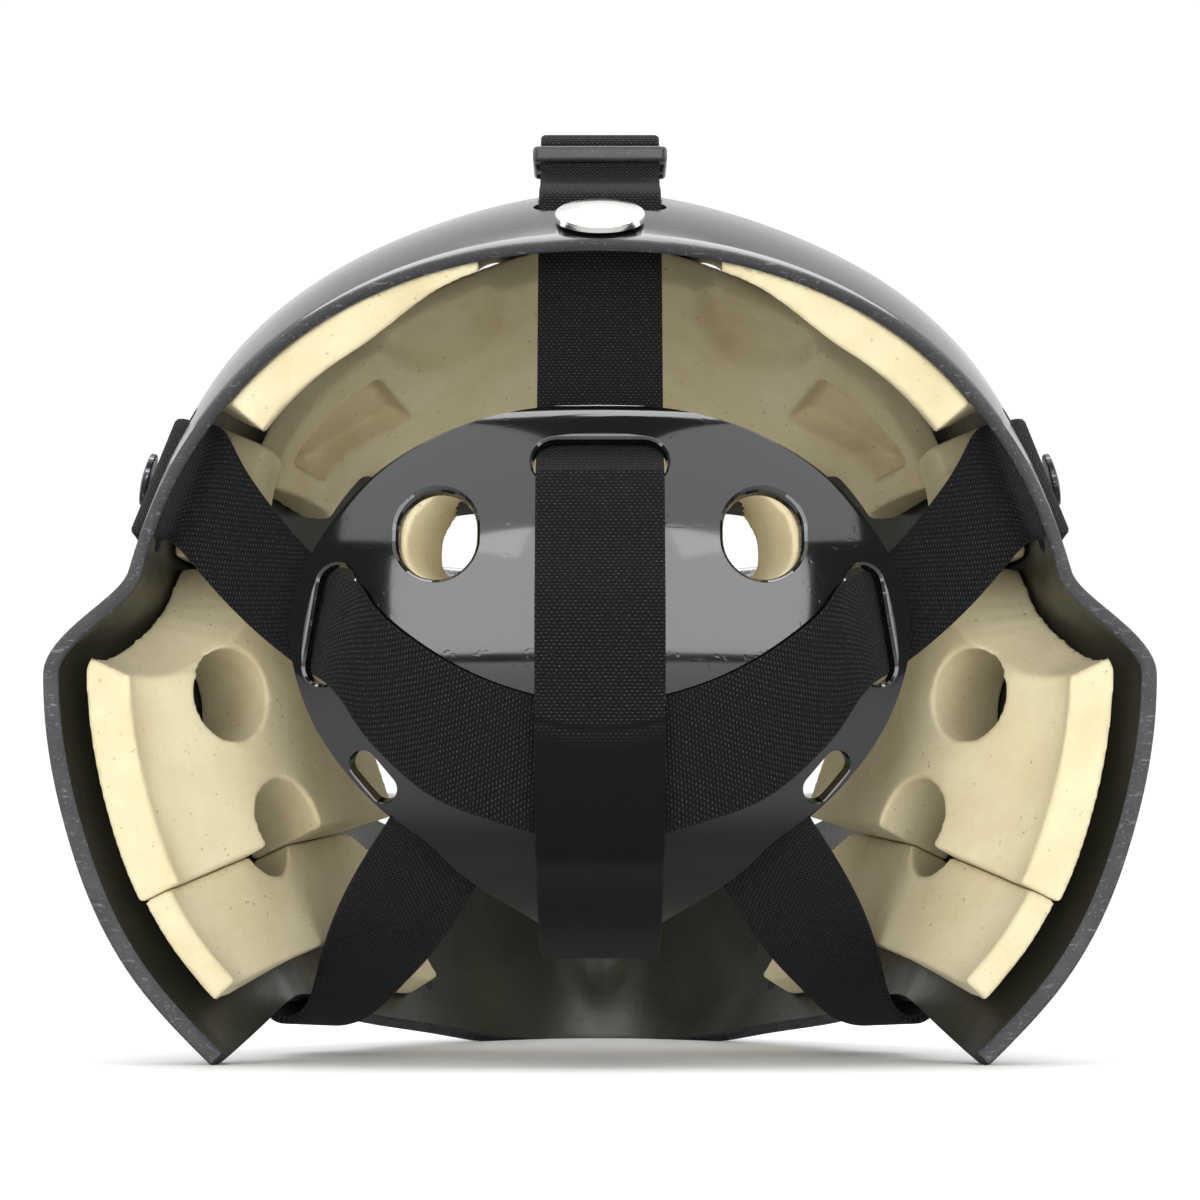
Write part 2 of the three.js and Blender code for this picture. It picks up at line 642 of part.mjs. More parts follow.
// Round head with a low dome, standing on a surface.
function domeHead(radius, height, place, normal) {
  const profile = [new THREE.Vector2(0, 0), new THREE.Vector2(radius, 0), new THREE.Vector2(radius, height * 0.45),
    new THREE.Vector2(radius * 0.82, height * 0.85), new THREE.Vector2(0, height)];
  const head = new THREE.LatheGeometry(profile, 10);
  head.applyQuaternion(new THREE.Quaternion().setFromUnitVectors(point(0, 1, 0), normal));
  head.translate(place.x, place.y, place.z);
  return head;
}

function headOnShell(radius, height, angle, y, lift) {
  const tilt = tiltAt(angle, y);
  return domeHead(radius, height, underSkin(angle, tilt, -lift), skinNormal(angle, tilt));
}

// Cage: a ring of wire round the face opening, with level and upright bars welded to it.
const CAGE = { ringGrow: 5, level: [72, 96.5, 120, 141], upright: [0, 28], bow: 8, wireSides: 5 };

function tube(points, closed, steps) {
  const section = new THREE.Shape(Array.from({ length: CAGE.wireSides }, (_, i) => {
    const turn = 2 * Math.PI * i / CAGE.wireSides;
    return new THREE.Vector2(WIRE_RADIUS * Math.cos(turn), WIRE_RADIUS * Math.sin(turn));
  }));
  const extrudePath = new THREE.CatmullRomCurve3(points, closed);
  return new THREE.ExtrudeGeometry(section, { steps, extrudePath, bevelEnabled: false });
}

// The ring lies on the shell, a little way out from the opening's edge.
function ringMap(row) {
  const [u, v] = openingMap(row);
  return [degrees(Math.atan2(v, u)), Math.hypot(u, v) + CAGE.ringGrow];
}

function ringPoint(row) {
  return underSkin(...ringMap(row), -(WIRE_RADIUS + 0.55));
}

const ringRight = Array.from({ length: 49 }, (_, i) => ringPoint(i / 4));
const ringLoop = [...ringRight, ...ringRight.slice(1, -1).reverse().map(mirrored)];

// Where the right-hand half of the ring passes a height or a distance from the middle.
function ringAt(key, value, fromBelow = false) {
  const stops = fromBelow ? [...ringRight].reverse() : ringRight;
  const i = stops.findIndex((p, k) => k > 0 && (stops[k - 1][key] - value) * (p[key] - value) <= 0);
  const [a, b] = [stops[i - 1], stops[i]];
  return a.clone().lerp(b, (value - a[key]) / (b[key] - a[key]));
}

function cageDepth(x, z) {
  const end = ringAt('z', z);
  const [top, bottom] = [ringRight[0], ringRight[ringRight.length - 1]];
  const middle = THREE.MathUtils.mapLinear(z, bottom.z, top.z, bottom.y, top.y) + CAGE.bow;
  return THREE.MathUtils.lerp(middle, end.y, (x / end.x) ** 2);
}

function cageGeometry() {
  const levelBars = CAGE.level.map((z) => {
    const end = ringAt('z', z);
    const stops = [-1, -0.8, -0.55, -0.3, 0, 0.3, 0.55, 0.8, 1];
    return tube(stops.map((k) => point(k * end.x, cageDepth(k * end.x, z), z)), false, 8);
  });
  const uprights = CAGE.upright.flatMap((x) => {
    const [top, bottom] = [false, true].map((fromBelow) => ringAt('x', Math.max(x, 0.1), fromBelow));
    const between = [...CAGE.level].reverse().map((z) => point(x, cageDepth(x, z) - 1.5, z));
    const lip = point(x, bottom.y + 4, bottom.z + 9);
    const bar = tube([point(x, top.y, top.z), ...between, lip, point(x, bottom.y, bottom.z)], false, 8);
    return x === 0 ? [bar] : withMirror(bar);
  });
  const bodies = [tube(ringLoop, true, 44), ...levelBars, ...uprights].map(solid);
  return geometryOf(bodies.reduce((whole, bar) => whole.add(bar)));
}

// Cage clip: a small plate screwed to the shell, hooked over the ring wire.
const CLIPS = { crown: 1.3, cheek: 6.75, chin: 10.6 };
const CLIP = { length: 15, width: 9, wall: 1.6, play: 0.7, foot: -WIRE_RADIUS - 0.1, screwAt: 10 };

function clipFrame(row) {
  const [angle, tilt] = ringMap(row);
  const wire = ringPoint(row + 0.1).sub(ringPoint(row - 0.1)).normalize();
  const normal = skinNormal(angle, tilt + 4);
  normal.addScaledVector(wire, -normal.dot(wire)).normalize();
  return { centre: ringPoint(row), away: normal.clone().cross(wire).negate(), normal, wire };
}

function clipGeometry(row) {
  const { centre, away, normal, wire } = clipFrame(row);
  const inner = WIRE_RADIUS + CLIP.play;
  const outer = inner + CLIP.wall;
  const shape = new THREE.Shape();
  shape.moveTo(CLIP.length, CLIP.foot);
  shape.lineTo(CLIP.length, CLIP.foot + CLIP.wall);
  shape.lineTo(outer + 0.6, CLIP.foot + CLIP.wall);
  shape.lineTo(outer, 0.5);
  shape.absarc(0, 0.5, outer, 0, Math.PI);
  shape.lineTo(-outer, -0.4);
  shape.lineTo(-inner, -0.4);
  shape.absarc(0, 0.5, inner, Math.PI, 0, true);
  shape.lineTo(inner, CLIP.foot);
  const clip = new THREE.ExtrudeGeometry(shape, { depth: CLIP.width, bevelEnabled: false, curveSegments: 4 });
  clip.translate(0, 0, -CLIP.width / 2);
  const across = away.clone().cross(normal);
  clip.applyMatrix4(new THREE.Matrix4().makeBasis(away, normal, across).setPosition(centre));
  return clip;
}

function clipScrew(row) {
  const { centre, away, normal } = clipFrame(row);
  const seat = centre.clone().addScaledVector(away, CLIP.screwAt)
    .addScaledVector(normal, CLIP.foot + CLIP.wall + GAP);
  return domeHead(4, 2.4, seat, normal);
}

// Assembly
const helmet = new THREE.Group();
const materials = Object.fromEntries(Object.entries(COLOURS)
  .map(([name, values]) => [name, new THREE.MeshStandardMaterial(values)]));

function addPiece(name, material, geometry) {
  const mesh = new THREE.Mesh(geometry, materials[material]);
  mesh.name = name;
  helmet.add(mesh);
}

function addPair(name, material, geometry) {
  addPiece(`${name}_right`, material, geometry);
  addPiece(`${name}_left`, material, mirrorImage(geometry));
}

const OVER_STRAP = ON_SHELL + STRAP_WALL / 2 + GAP;
addPiece('shell', 'shell', shellGeometry());
addPiece('forehead_pad', 'foam', foreheadGeometry());
addPair('crown_pad', 'foam', padGeometry(CROWN_PAD));
addPair('temple_pad', 'foam', padGeometry(TEMPLE_PAD));
addPair('cheek_pad', 'foam', padGeometry(CHEEK_PAD));
addPair('jaw_pad', 'foam', padGeometry(JAW_PAD));
addPiece('back_plate', 'plate', plateGeometry());
addPiece('back_plate_pad', 'foam', liningGeometry());
addPiece('centre_strap', 'strap', strapGeometry(centreRoute(), 64));
addPair('side_strap', 'strap', strapGeometry(sideRoute(), 28, 3, (t) => smooth((t - 10.4) / 1.6)));
addPair('lower_strap', 'strap', strapGeometry(lowerRoute(), 26));
addPiece('strap_slider', 'plastic', sliderGeometry());
addPiece('strap_cap', 'plastic', headOnShell(11.5, 3.5, 90, 11.5, GAP));
addPair('side_strap_screw', 'plastic', headOnShell(7, 2.5, SIDE_SLOT.angle, 47, OVER_STRAP + 1.6));
addPair('lower_strap_screw', 'plastic', headOnShell(7, 2.5, -36, 88.5, OVER_STRAP + 2.4));
for (const [place, row] of Object.entries(CLIPS)) {
  addPair(`cage_clip_${place}`, 'steel', clipGeometry(row));
  addPair(`cage_screw_${place}`, 'steel', clipScrew(row));
}
addPiece('cage', 'steel', cageGeometry());

// The origin is on the floor, in the middle of the helmet's length.
const length = new THREE.Box3().setFromObject(helmet);
for (const piece of helmet.children) piece.geometry.translate(0, -(length.min.y + length.max.y) / 2, 0);

export default helmet;
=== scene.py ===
"""Ice hockey goalie helmet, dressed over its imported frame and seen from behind."""
import math

import bmesh
import bpy
import numpy as np
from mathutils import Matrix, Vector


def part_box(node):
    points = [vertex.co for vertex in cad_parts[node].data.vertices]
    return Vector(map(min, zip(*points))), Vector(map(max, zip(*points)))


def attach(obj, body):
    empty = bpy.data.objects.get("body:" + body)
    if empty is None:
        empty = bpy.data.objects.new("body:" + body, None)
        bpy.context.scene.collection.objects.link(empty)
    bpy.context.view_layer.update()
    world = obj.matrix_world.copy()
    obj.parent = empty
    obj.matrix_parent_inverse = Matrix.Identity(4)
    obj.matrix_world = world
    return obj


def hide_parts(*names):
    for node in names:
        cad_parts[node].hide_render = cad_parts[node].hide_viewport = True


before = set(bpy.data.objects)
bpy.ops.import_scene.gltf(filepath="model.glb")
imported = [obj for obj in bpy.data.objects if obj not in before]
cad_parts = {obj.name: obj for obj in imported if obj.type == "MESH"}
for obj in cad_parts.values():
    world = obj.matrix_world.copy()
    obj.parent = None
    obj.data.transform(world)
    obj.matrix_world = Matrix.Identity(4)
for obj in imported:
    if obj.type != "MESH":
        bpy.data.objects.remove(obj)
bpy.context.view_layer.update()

# View and light
# The helmet stands on a white table and is photographed from behind, from just above the table.
# Soft boxes hang over it and over its shoulders, a broad one stands behind the camera with a low
# one under it, and a strip stands at each side.
REAR_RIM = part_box("shell")[0][1]        # y of the rear rim's plane, in metres
CAMERA_BACK = 0.900                     # from the camera to the rear rim
CAMERA_RISE = 0.033
CAMERA_PITCH = 5.2
LENS = 109.0

camera = bpy.data.objects.new("camera", bpy.data.cameras.new("camera"))
camera.data.lens = LENS
camera.data.sensor_width = 36
camera.location = (0, REAR_RIM - CAMERA_BACK, CAMERA_RISE)
camera.rotation_euler = (math.radians(90 + CAMERA_PITCH), 0, 0)
bpy.context.scene.collection.objects.link(camera)
bpy.context.scene.camera = camera


def soft_box(name, place, aim, size, watts):
    """A rectangular lamp at place, turned to face aim."""
    lamp = bpy.data.lights.new(name, "AREA")
    lamp.shape = "RECTANGLE"
    lamp.size, lamp.size_y = size
    lamp.energy = watts
    stand = bpy.data.objects.new(name, lamp)
    away = np.subtract(place, aim)
    flat = math.hypot(away[0], away[1])
    stand.location = place
    stand.rotation_euler = (math.atan2(flat, away[2]), 0, math.atan2(away[1], away[0]) + math.pi / 2)
    bpy.context.scene.collection.objects.link(stand)
    return stand


soft_box("overhead_box", (0, 0.15, 1.3), (0, 0, 0.1), (1.5, 1.0), 19)
# The broad box shows in the gloss alone, and a dimmer one in its place lights the mat pieces.
camera_box = soft_box("camera_box", (0, -1.45, 0.6), (0, 0, 0.3), (3.3, 1.15), 37)
camera_box.visible_diffuse = False
camera_wash = soft_box("camera_wash", (0, -1.45, 0.6), (0, 0, 0.3), (3.3, 1.15), 7)
camera_wash.visible_glossy = False
soft_box("left_box", (-0.72, -0.8, 1.25), (0, 0, 0.12), (1.1, 0.95), 4)
soft_box("right_box", (0.72, -0.8, 1.25), (0, 0, 0.12), (1.1, 0.95), 4)
soft_box("left_strip", (-1.3, 0.2, 0.5), (0, 0, 0.12), (0.35, 1.2), 6)
soft_box("right_strip", (1.3, 0.2, 0.5), (0, 0, 0.12), (0.35, 1.2), 6)
fill_box = soft_box("fill_box", (0, -1.25, 0.08), (0, 0, 0.2), (2.0, 0.7), 22)
fill_box.visible_glossy = False

table = bpy.data.meshes.new("table")
table.from_pydata([(-1.3, -1.2, 0), (1.3, -1.2, 0), (1.3, 0.85, 0), (-1.3, 0.85, 0)], [], [(0, 1, 2, 3)])
table_top = bpy.data.objects.new("table", table)
bpy.context.scene.collection.objects.link(table_top)
white_table = bpy.data.materials.new("white_table")
white_table.use_nodes = True
tree = white_table.node_tree
table_shader = tree.nodes["Principled BSDF"]
table_shader.inputs["Roughness"].default_value = 0.6
# Painted reflection: the table is white to the camera and to diffuse light, but coloured grey for glossy
# rays, so its reflection in the gloss is painted darker.
dimmer = tree.nodes.new("ShaderNodeMix")
dimmer.data_type = "RGBA"
dimmer.inputs[6].default_value = (0.93, 0.93, 0.93, 1)
dimmer.inputs[7].default_value = (0.4, 0.4, 0.4, 1)
tree.links.new(tree.nodes.new("ShaderNodeLightPath").outputs["Is Glossy Ray"], dimmer.inputs[0])
tree.links.new(dimmer.outputs[2], table_shader.inputs["Base Color"])
table.materials.append(white_table)

room = bpy.data.worlds.new("room")
room.use_nodes = True
sweep = room.node_tree.nodes["Background"]
looking = room.node_tree.nodes.new("ShaderNodeTexCoord").outputs["Generated"]
parts = room.node_tree.nodes.new("ShaderNodeSeparateXYZ")
room.node_tree.links.new(looking, parts.inputs["Vector"])
behind = room.node_tree.nodes.new("ShaderNodeMapRange")
for socket, value in (("From Min", -0.1), ("From Max", 0.5), ("To Min", 0.1), ("To Max", 0.95)):
    behind.inputs[socket].default_value = value
room.node_tree.links.new(parts.outputs["Y"], behind.inputs["Value"])
seen_directly = room.node_tree.nodes.new("ShaderNodeLightPath").outputs["Is Camera Ray"]
strength = room.node_tree.nodes.new("ShaderNodeMapRange")
strength.inputs["To Max"].default_value = 1.05
room.node_tree.links.new(seen_directly, strength.inputs["Value"])
room.node_tree.links.new(behind.outputs["Result"], strength.inputs["To Min"])
room.node_tree.links.new(strength.outputs["Result"], sweep.inputs["Strength"])
sweep.inputs["Color"].default_value = (1.0, 1.0, 1.0, 1)
bpy.context.scene.world = room
bpy.context.scene.view_settings.view_transform = "Standard"

# Shell
# One moulding of fibreglass and resin, laid up by hand and trimmed. It is painted glossy black
# outside, bare olive-black inside, and its cut edge is sanded. Slots and vents are cut through it.
AXIS_Z = 105            # height of the axis that the shell's sections turn round, in millimetres
CENTRE_Y = 75           # where on that axis the section distances start
SHELL_THIN, SHELL_THICK = 3.2, 4.2
FLARE_RISE, FLARE_TOP, FLARE_SPAN, FLARE_REACH = 18, 8.5, 12, 65
SKIN_ANGLES = np.array([90, 66, 40, 18, -2, -20, -35, -48, -66, -90], float)
SKIN_PROFILES = [
    [(0, 100.5), (40, 120), (80, 127.5), (120, 124), (189, 80), (203, 45)],
    [(0, 104), (40, 120.5), (80, 124.7), (120, 120.5), (185, 80), (200, 45)],
    [(0, 111.3), (40, 123.5), (80, 127), (120, 118.5), (173, 80), (190, 45)],
    [(0, 116.5), (40, 120.5), (80, 118.5), (120, 107), (156, 80), (178, 45)],
    [(0, 120.5), (40, 116), (80, 107.5), (120, 96), (148, 80), (177, 45)],
    [(0, 122.5), (40, 118), (80, 108), (120, 97), (158, 80), (196, 45)],
    [(0, 124.5), (40, 120.5), (80, 112), (120, 102), (172, 80), (216, 45)],
    [(0, 124), (40, 126.5), (80, 122.5), (120, 116), (196, 80), (231, 45)],
    [(0, 128), (40, 131), (80, 131), (120, 128), (175, 114), (230, 80), (244, 45)],
    [(0, 128), (40, 131), (80, 132), (120, 132), (190, 127), (247, 80), (244, 45)],
]
RIM_ANGLES = np.array([90, 66, 42, 24, 8, -4, -26, -47.9])
JAW_EDGE = np.array([(90, 40, 6), (82, 80, 14), (66, 135, 8), (46, 182, 0), (0, 224, 0)], float)
OPENING_X = np.array([0, 30, 50, 68, 78, 83, 85, 84, 81, 75, 63, 44, 0], float)
OPENING_Z = np.array([160, 159, 155, 142, 127, 113, 98, 85, 76, 68.5, 62.5, 59, 57], float)
TIP_ROW = 7


def natural_curve(knots, values, x):
    """Natural cubic spline at x through values at the knots; values may hold one row of them per x."""
    knots = np.asarray(knots, float)
    gap = np.diff(knots)
    inner = np.arange(1, len(knots) - 1)
    system = np.eye(len(knots))
    kinks = np.zeros((len(knots), len(knots)))
    system[inner, inner - 1], system[inner, inner], system[inner, inner + 1] = (
        gap[:-1], 2 * (gap[:-1] + gap[1:]), gap[1:])
    kinks[inner, inner - 1], kinks[inner, inner], kinks[inner, inner + 1] = (
        6 / gap[:-1], -6 / gap[:-1] - 6 / gap[1:], 6 / gap[1:])
    x = np.clip(np.asarray(x, float), knots[0], knots[-1])
    values = np.broadcast_to(np.asarray(values, float), x.shape + (len(knots),))
    bend = values @ np.linalg.solve(system, kinks).T
    cell = np.clip(np.searchsorted(knots, x, side="right") - 1, 0, len(knots) - 2)
    b = (x - knots[cell]) / gap[cell]
    a = 1 - b

    def pick(table, place):
        return np.take_along_axis(table, place[..., None], -1)[..., 0]

    curve = (a**3 - a) * pick(bend, cell) + (b**3 - b) * pick(bend, cell + 1)
    return a * pick(values, cell) + b * pick(values, cell + 1) + curve * gap[cell] ** 2 / 6


def mirrored_curve(values, sign, x):
    """Spline by row number, with rows mirrored past both ends; sign -1 where a value changes side."""
    values = np.asarray(values, float)
    rows = np.concatenate([sign * values[3:0:-1], values, sign * values[-2:-5:-1]])
    return natural_curve(np.arange(len(rows)) - 3.0, rows, x)


def smooth(t):
    """0 before 0, 1 after 1, and a level start and end between."""
    k = np.clip(t, 0, 1)
    return k * k * (3 - 2 * k)


def skin_reach(angle, tilt):
    """Distance of the skin from its centre, at an angle round the axis and a tilt away from the face."""
    angle, tilt = np.broadcast_arrays(np.asarray(angle, float), np.asarray(tilt, float))
    rows = []
    for profile in SKIN_PROFILES:
        y, radius = np.array(profile, float).T
        polar = np.degrees(np.arctan2(radius, y - CENTRE_Y))
        order = np.argsort(polar)
        rows.append(natural_curve(polar[order], np.hypot(radius, y - CENTRE_Y)[order], tilt))
    angles = np.concatenate([180 - SKIN_ANGLES[3:0:-1], SKIN_ANGLES, -180 - SKIN_ANGLES[-2:-5:-1]])
    ring = np.stack(rows[3:0:-1] + rows + rows[-2:-5:-1], -1)
    return natural_curve(angles[::-1], ring[..., ::-1], angle)


def skin_point(angle, tilt, share=1.0):
    """Point of the outer skin; share is how much of the jaw's flare it takes."""
    distance = skin_reach(angle, tilt)
    y = CENTRE_Y + distance * np.cos(np.radians(tilt))
    flare = FLARE_RISE * smooth((FLARE_TOP - angle) / FLARE_SPAN) * (1 - smooth(y / FLARE_REACH))
    radius = distance * np.sin(np.radians(tilt)) + share * flare
    return np.stack([radius * np.cos(np.radians(angle)), y,
                     AXIS_Z + radius * np.sin(np.radians(angle))], -1)


def unit(vectors):
    """Vectors at length one."""
    return vectors / np.linalg.norm(vectors, axis=-1, keepdims=True)


def skin_normal(angle, tilt, share=1.0):
    """Outward normal of the skin, from small steps round it and along it."""
    around = skin_point(angle + 0.6, tilt, share) - skin_point(angle - 0.6, tilt, share)
    along = skin_point(angle, tilt + 0.6, share) - skin_point(angle, tilt - 0.6, share)
    normal = unit(np.cross(around, along))
    outward = skin_point(angle, tilt, share) - np.array([0, CENTRE_Y, AXIS_Z])
    return normal * np.sign(np.sum(normal * outward, -1, keepdims=True))


def under_skin(angle, tilt, depth, share=1.0):
    """Point at a depth under the outer skin."""
    angle, tilt, depth = np.broadcast_arrays(*(np.asarray(v, float) for v in (angle, tilt, depth)))
    return skin_point(angle, tilt, share) - depth[..., None] * skin_normal(angle, tilt, share)


def shell_wall(angle):
    """Thickness of the shell, more at the jaws."""
    return SHELL_THIN + (SHELL_THICK - SHELL_THIN) * smooth((30 - np.asarray(angle, float)) / 60)


def tilt_at(angle, y):
    """Tilt at which the skin passes a station y, found by repeated substitution."""
    angle, y = np.broadcast_arrays(np.asarray(angle, float), np.asarray(y, float))
    tilt = np.full(angle.shape, 90.0)
    for _ in range(24):
        tilt = np.degrees(np.arccos(np.clip((y - CENTRE_Y) / skin_reach(angle, tilt), -1, 1)))
    return tilt


def tilt_at_radius(angle, radius):
    """Tilt at which the skin passes a radius, on the face side."""
    angle, radius = np.broadcast_arrays(np.asarray(angle, float), np.asarray(radius, float))
    tilt = np.full(angle.shape, 30.0)
    for _ in range(24):
        tilt = np.degrees(np.arcsin(np.minimum(radius / skin_reach(angle, tilt), 1)))
    return tilt


def skin_map(angle, tilt):
    """Flat map of the skin: tilt as the distance from the middle, angle as the direction."""
    return np.stack([tilt * np.cos(np.radians(angle)), tilt * np.sin(np.radians(angle))], -1)


def rear_edge(row):
    """Rear and lower edge of the shell on the flat map, by row number."""
    angle = np.interp(row, np.arange(len(RIM_ANGLES)), RIM_ANGLES)
    rim = skin_map(angle, tilt_at(angle, 0.0))
    jaw_angle = np.degrees(np.arctan2(JAW_EDGE[:, 2] - AXIS_Z, JAW_EDGE[:, 0]))
    jaw_radius = np.hypot(JAW_EDGE[:, 0], JAW_EDGE[:, 2] - AXIS_Z)
    jaw = skin_map(jaw_angle, np.degrees(np.arctan2(jaw_radius, JAW_EDGE[:, 1] - CENTRE_Y)))
    tip = skin_map(RIM_ANGLES[-1], tilt_at(RIM_ANGLES[-1], 0.0))
    stops = np.vstack([tip, jaw])
    stops = np.vstack([stops, stops[-2:-4:-1] * [-1, 1]])
    knots = TIP_ROW + np.arange(len(stops))
    lower = np.stack([natural_curve(knots, stops[:, k], row) for k in (0, 1)], -1)
    return np.where((row >= TIP_ROW)[..., None], lower, rim)


def face_edge(row):
    """Edge of the face opening on the flat map, by row number."""
    x = mirrored_curve(OPENING_X, -1, row)
    rise = mirrored_curve(OPENING_Z, 1, row) - AXIS_Z
    angle = np.degrees(np.arctan2(rise, x))
    return skin_map(angle, tilt_at_radius(angle, np.hypot(x, rise)))


def shell_grid(rows, rings, depth_share):
    """Points over the right half of the shell: rows round it, rings from face edge to rear edge.
    depth_share 0 is the outer skin and 1 the inner one, and it may change over the grid."""
    front, rear = face_edge(rows)[:, None], rear_edge(rows)[:, None]
    flat = front + (rear - front) * rings[None, :, None]
    angle = np.degrees(np.arctan2(flat[..., 1], flat[..., 0]))
    tilt = np.hypot(flat[..., 0], flat[..., 1])
    points = under_skin(angle, tilt, shell_wall(angle) * depth_share)
    points[..., 1:] = np.maximum(points[..., 1:], 0)
    return points


def loop_faces(sections, count, closed):
    """Quads between neighbouring sections, each a loop of count points, closed round if asked."""
    here = np.arange(sections if closed else sections - 1)[:, None] * count
    there = (here + count) % (sections * count)
    k = np.arange(count)
    after = (k + 1) % count
    return np.stack([here + k, here + after, there + after, there + k], -1).reshape(-1, 4)


def new_piece(name, points, faces, materials, slot, shade=35):
    """A mesh piece from millimetre points, set in the frame, smooth except at edges over shade degrees."""
    place = np.asarray(points, float).reshape(-1, 3) * 0.001 + [0, REAR_RIM, 0]
    mesh = bpy.data.meshes.new(name)
    mesh.from_pydata(place.tolist(), [], faces.tolist())
    mesh.validate()
    piece = bpy.data.objects.new(name, mesh)
    bpy.context.scene.collection.objects.link(piece)
    for material in materials:
        mesh.materials.append(material)
    mesh.shade_smooth()
    mesh.set_sharp_from_angle(angle=math.radians(shade))
    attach(piece, "root")
    return piece


def slot_outline(length, width, steps=12):
    """Round-ended slot as points and outward directions, its length along the first axis."""
    turn = np.linspace(-math.pi / 2, math.pi / 2, steps)
    arc = np.stack([np.cos(turn), np.sin(turn)], -1)
    reach = length / 2 - width / 2
    points = np.vstack([arc * width / 2 + [reach, 0], arc * [-1, -1] * width / 2 - [reach, 0]])
    return points, np.vstack([arc, -arc])


def capped_tube(name, rings):
    """Closed cutter from a stack of equal rings, with a fan at each end."""
    count = rings.shape[1]
    points = np.vstack([rings.reshape(-1, 3), rings[0].mean(0), rings[-1].mean(0)])
    first, last, end = len(rings) * count, len(rings) * count + 1, (len(rings) - 1) * count
    k = np.arange(count)
    after = (k + 1) % count
    faces = loop_faces(len(rings), count, False).tolist()
    faces += np.stack([np.full(count, first), after, k], -1).tolist()
    faces += np.stack([np.full(count, last), end + k, end + after], -1).tolist()
    mesh = bpy.data.meshes.new(name)
    mesh.from_pydata((points * 0.001 + [0, REAR_RIM, 0]).tolist(), [], faces)
    cutter = bpy.data.objects.new(name, mesh)
    bpy.context.scene.collection.objects.link(cutter)
    return cutter


def both_sides(rings):
    """A cutter's rings and their mirror image across the middle of the helmet."""
    return [rings, rings * [-1, 1, 1]]


def cut_through(piece, ring_sets, wall=0):
    """Subtracts closed cutters from a piece; the holes' walls take its material number wall."""
    cutters = [capped_tube(f"{piece.name}_cutter_{k}", rings) for k, rings in enumerate(ring_sets)]
    for cutter in cutters:
        for material in piece.data.materials:
            cutter.data.materials.append(material)
        cutter.data.polygons.foreach_set("material_index", np.full(len(cutter.data.polygons), wall))
        outward_mesh(cutter.data)
        hole = piece.modifiers.new("hole", "BOOLEAN")
        hole.operation, hole.solver, hole.object = "DIFFERENCE", "EXACT", cutter
    keep_modified(piece)
    for cutter in cutters:
        bpy.data.meshes.remove(cutter.data)


def outward_mesh(mesh):
    """Turns a closed mesh's faces outwards."""
    work = bmesh.new()
    work.from_mesh(mesh)
    bmesh.ops.recalc_face_normals(work, faces=work.faces)
    work.to_mesh(mesh)
    work.free()


def keep_modified(piece):
    """Replaces a piece's mesh by what its modifiers make of it."""
    shown = piece.evaluated_get(bpy.context.evaluated_depsgraph_get())
    made = bpy.data.meshes.new_from_object(shown)
    piece.modifiers.clear()
    old = piece.data
    piece.data = made
    made.name = old.name
    bpy.data.meshes.remove(old)


SIDE_STRAP_ANGLE = 21.5
HOLE_PROFILE = [(3.5, 6.0), (1.1, 1.2), (0.75, 0.25), (0.3, -0.35), (0.0, -1.0), (0.0, -9.0)]
SHELL_HOLES = [
    ("crown_slot", 90, 28, 34.75, 14, False),
    ("side_slot", SIDE_STRAP_ANGLE, 22.5, 38.5, 16, False),
    ("crown_vent", 74.5, 130, 30, 8, True),
    ("temple_vent", 38, 130, 24, 8, True),
    ("chin_hole", -58.5, 180, 5.4, 5.4, False),
]


def shell_hole(angle, y, length, width, lengthways):
    """Rings of a cutter that follows the shell and opens out at its outer face, round its rim."""
    tilt = float(tilt_at(angle, y))
    centre, normal = skin_point(angle, tilt), skin_normal(angle, tilt)
    across = unit(skin_point(angle + 1, tilt) - skin_point(angle - 1, tilt))
    along = np.cross(normal, across)
    first, second = (along, across) if lengthways else (across, along)
    outline, outward = slot_outline(length, width)
    rings = []
    for outset, height in HOLE_PROFILE:
        flat = outline + outward * outset
        rings.append(centre + flat[:, :1] * first + flat[:, 1:] * second + height * normal)
    return np.array(rings)


def bench(name, colour, roughness, **settings):
    """A material with its Principled shader; settings are the shader's own sockets, by name."""
    material = bpy.data.materials.new(name)
    material.use_nodes = True
    shader = material.node_tree.nodes["Principled BSDF"]
    shader.inputs["Base Color"].default_value = (*colour, 1)
    shader.inputs["Roughness"].default_value = roughness
    for socket, value in settings.items():
        shader.inputs[socket.replace("_", " ").title().replace("Ior", "IOR")].default_value = value
    return material, material.node_tree, shader


def place_node(tree, kind, inputs=(), **settings):
    """A node of a kind, with its settings, and a value or a link for each input that is named."""
    made = tree.nodes.new(kind)
    for key, value in settings.items():
        setattr(made, key, value)
    for key, value in dict(inputs).items():
        if isinstance(value, bpy.types.NodeSocket):
            tree.links.new(value, made.inputs[key])
        else:
            made.inputs[key].default_value = value
    return made


def effect(name, values, results):
    """An empty shader node group with named float inputs and named outputs."""
    group = bpy.data.node_groups.new(name, "ShaderNodeTree")
    for key, default in values.items():
        group.interface.new_socket(key, in_out="INPUT", socket_type="NodeSocketFloat").default_value = default
    for key in results:
        group.interface.new_socket(key, in_out="OUTPUT", socket_type="NodeSocketFloat")
    return group, group.nodes.new("NodeGroupInput").outputs, group.nodes.new("NodeGroupOutput").inputs


def use_effect(tree, group, **values):
    """A shader node group placed in a material with its own values."""
    made = tree.nodes.new("ShaderNodeGroup")
    made.node_tree = group
    for key, value in values.items():
        made.inputs[key].default_value = value
    return made.outputs


def object_place(tree):
    """The place on the object, which a pattern in the solid material follows."""
    return place_node(tree, "ShaderNodeTexCoord").outputs["Object"]


def noise(tree, place, scale, detail=2.0, roughness=0.5):
    """A cloudy noise from 0 to 1."""
    return place_node(tree, "ShaderNodeTexNoise", {
        "Vector": place, "Scale": scale, "Detail": detail, "Roughness": roughness}).outputs["Fac"]


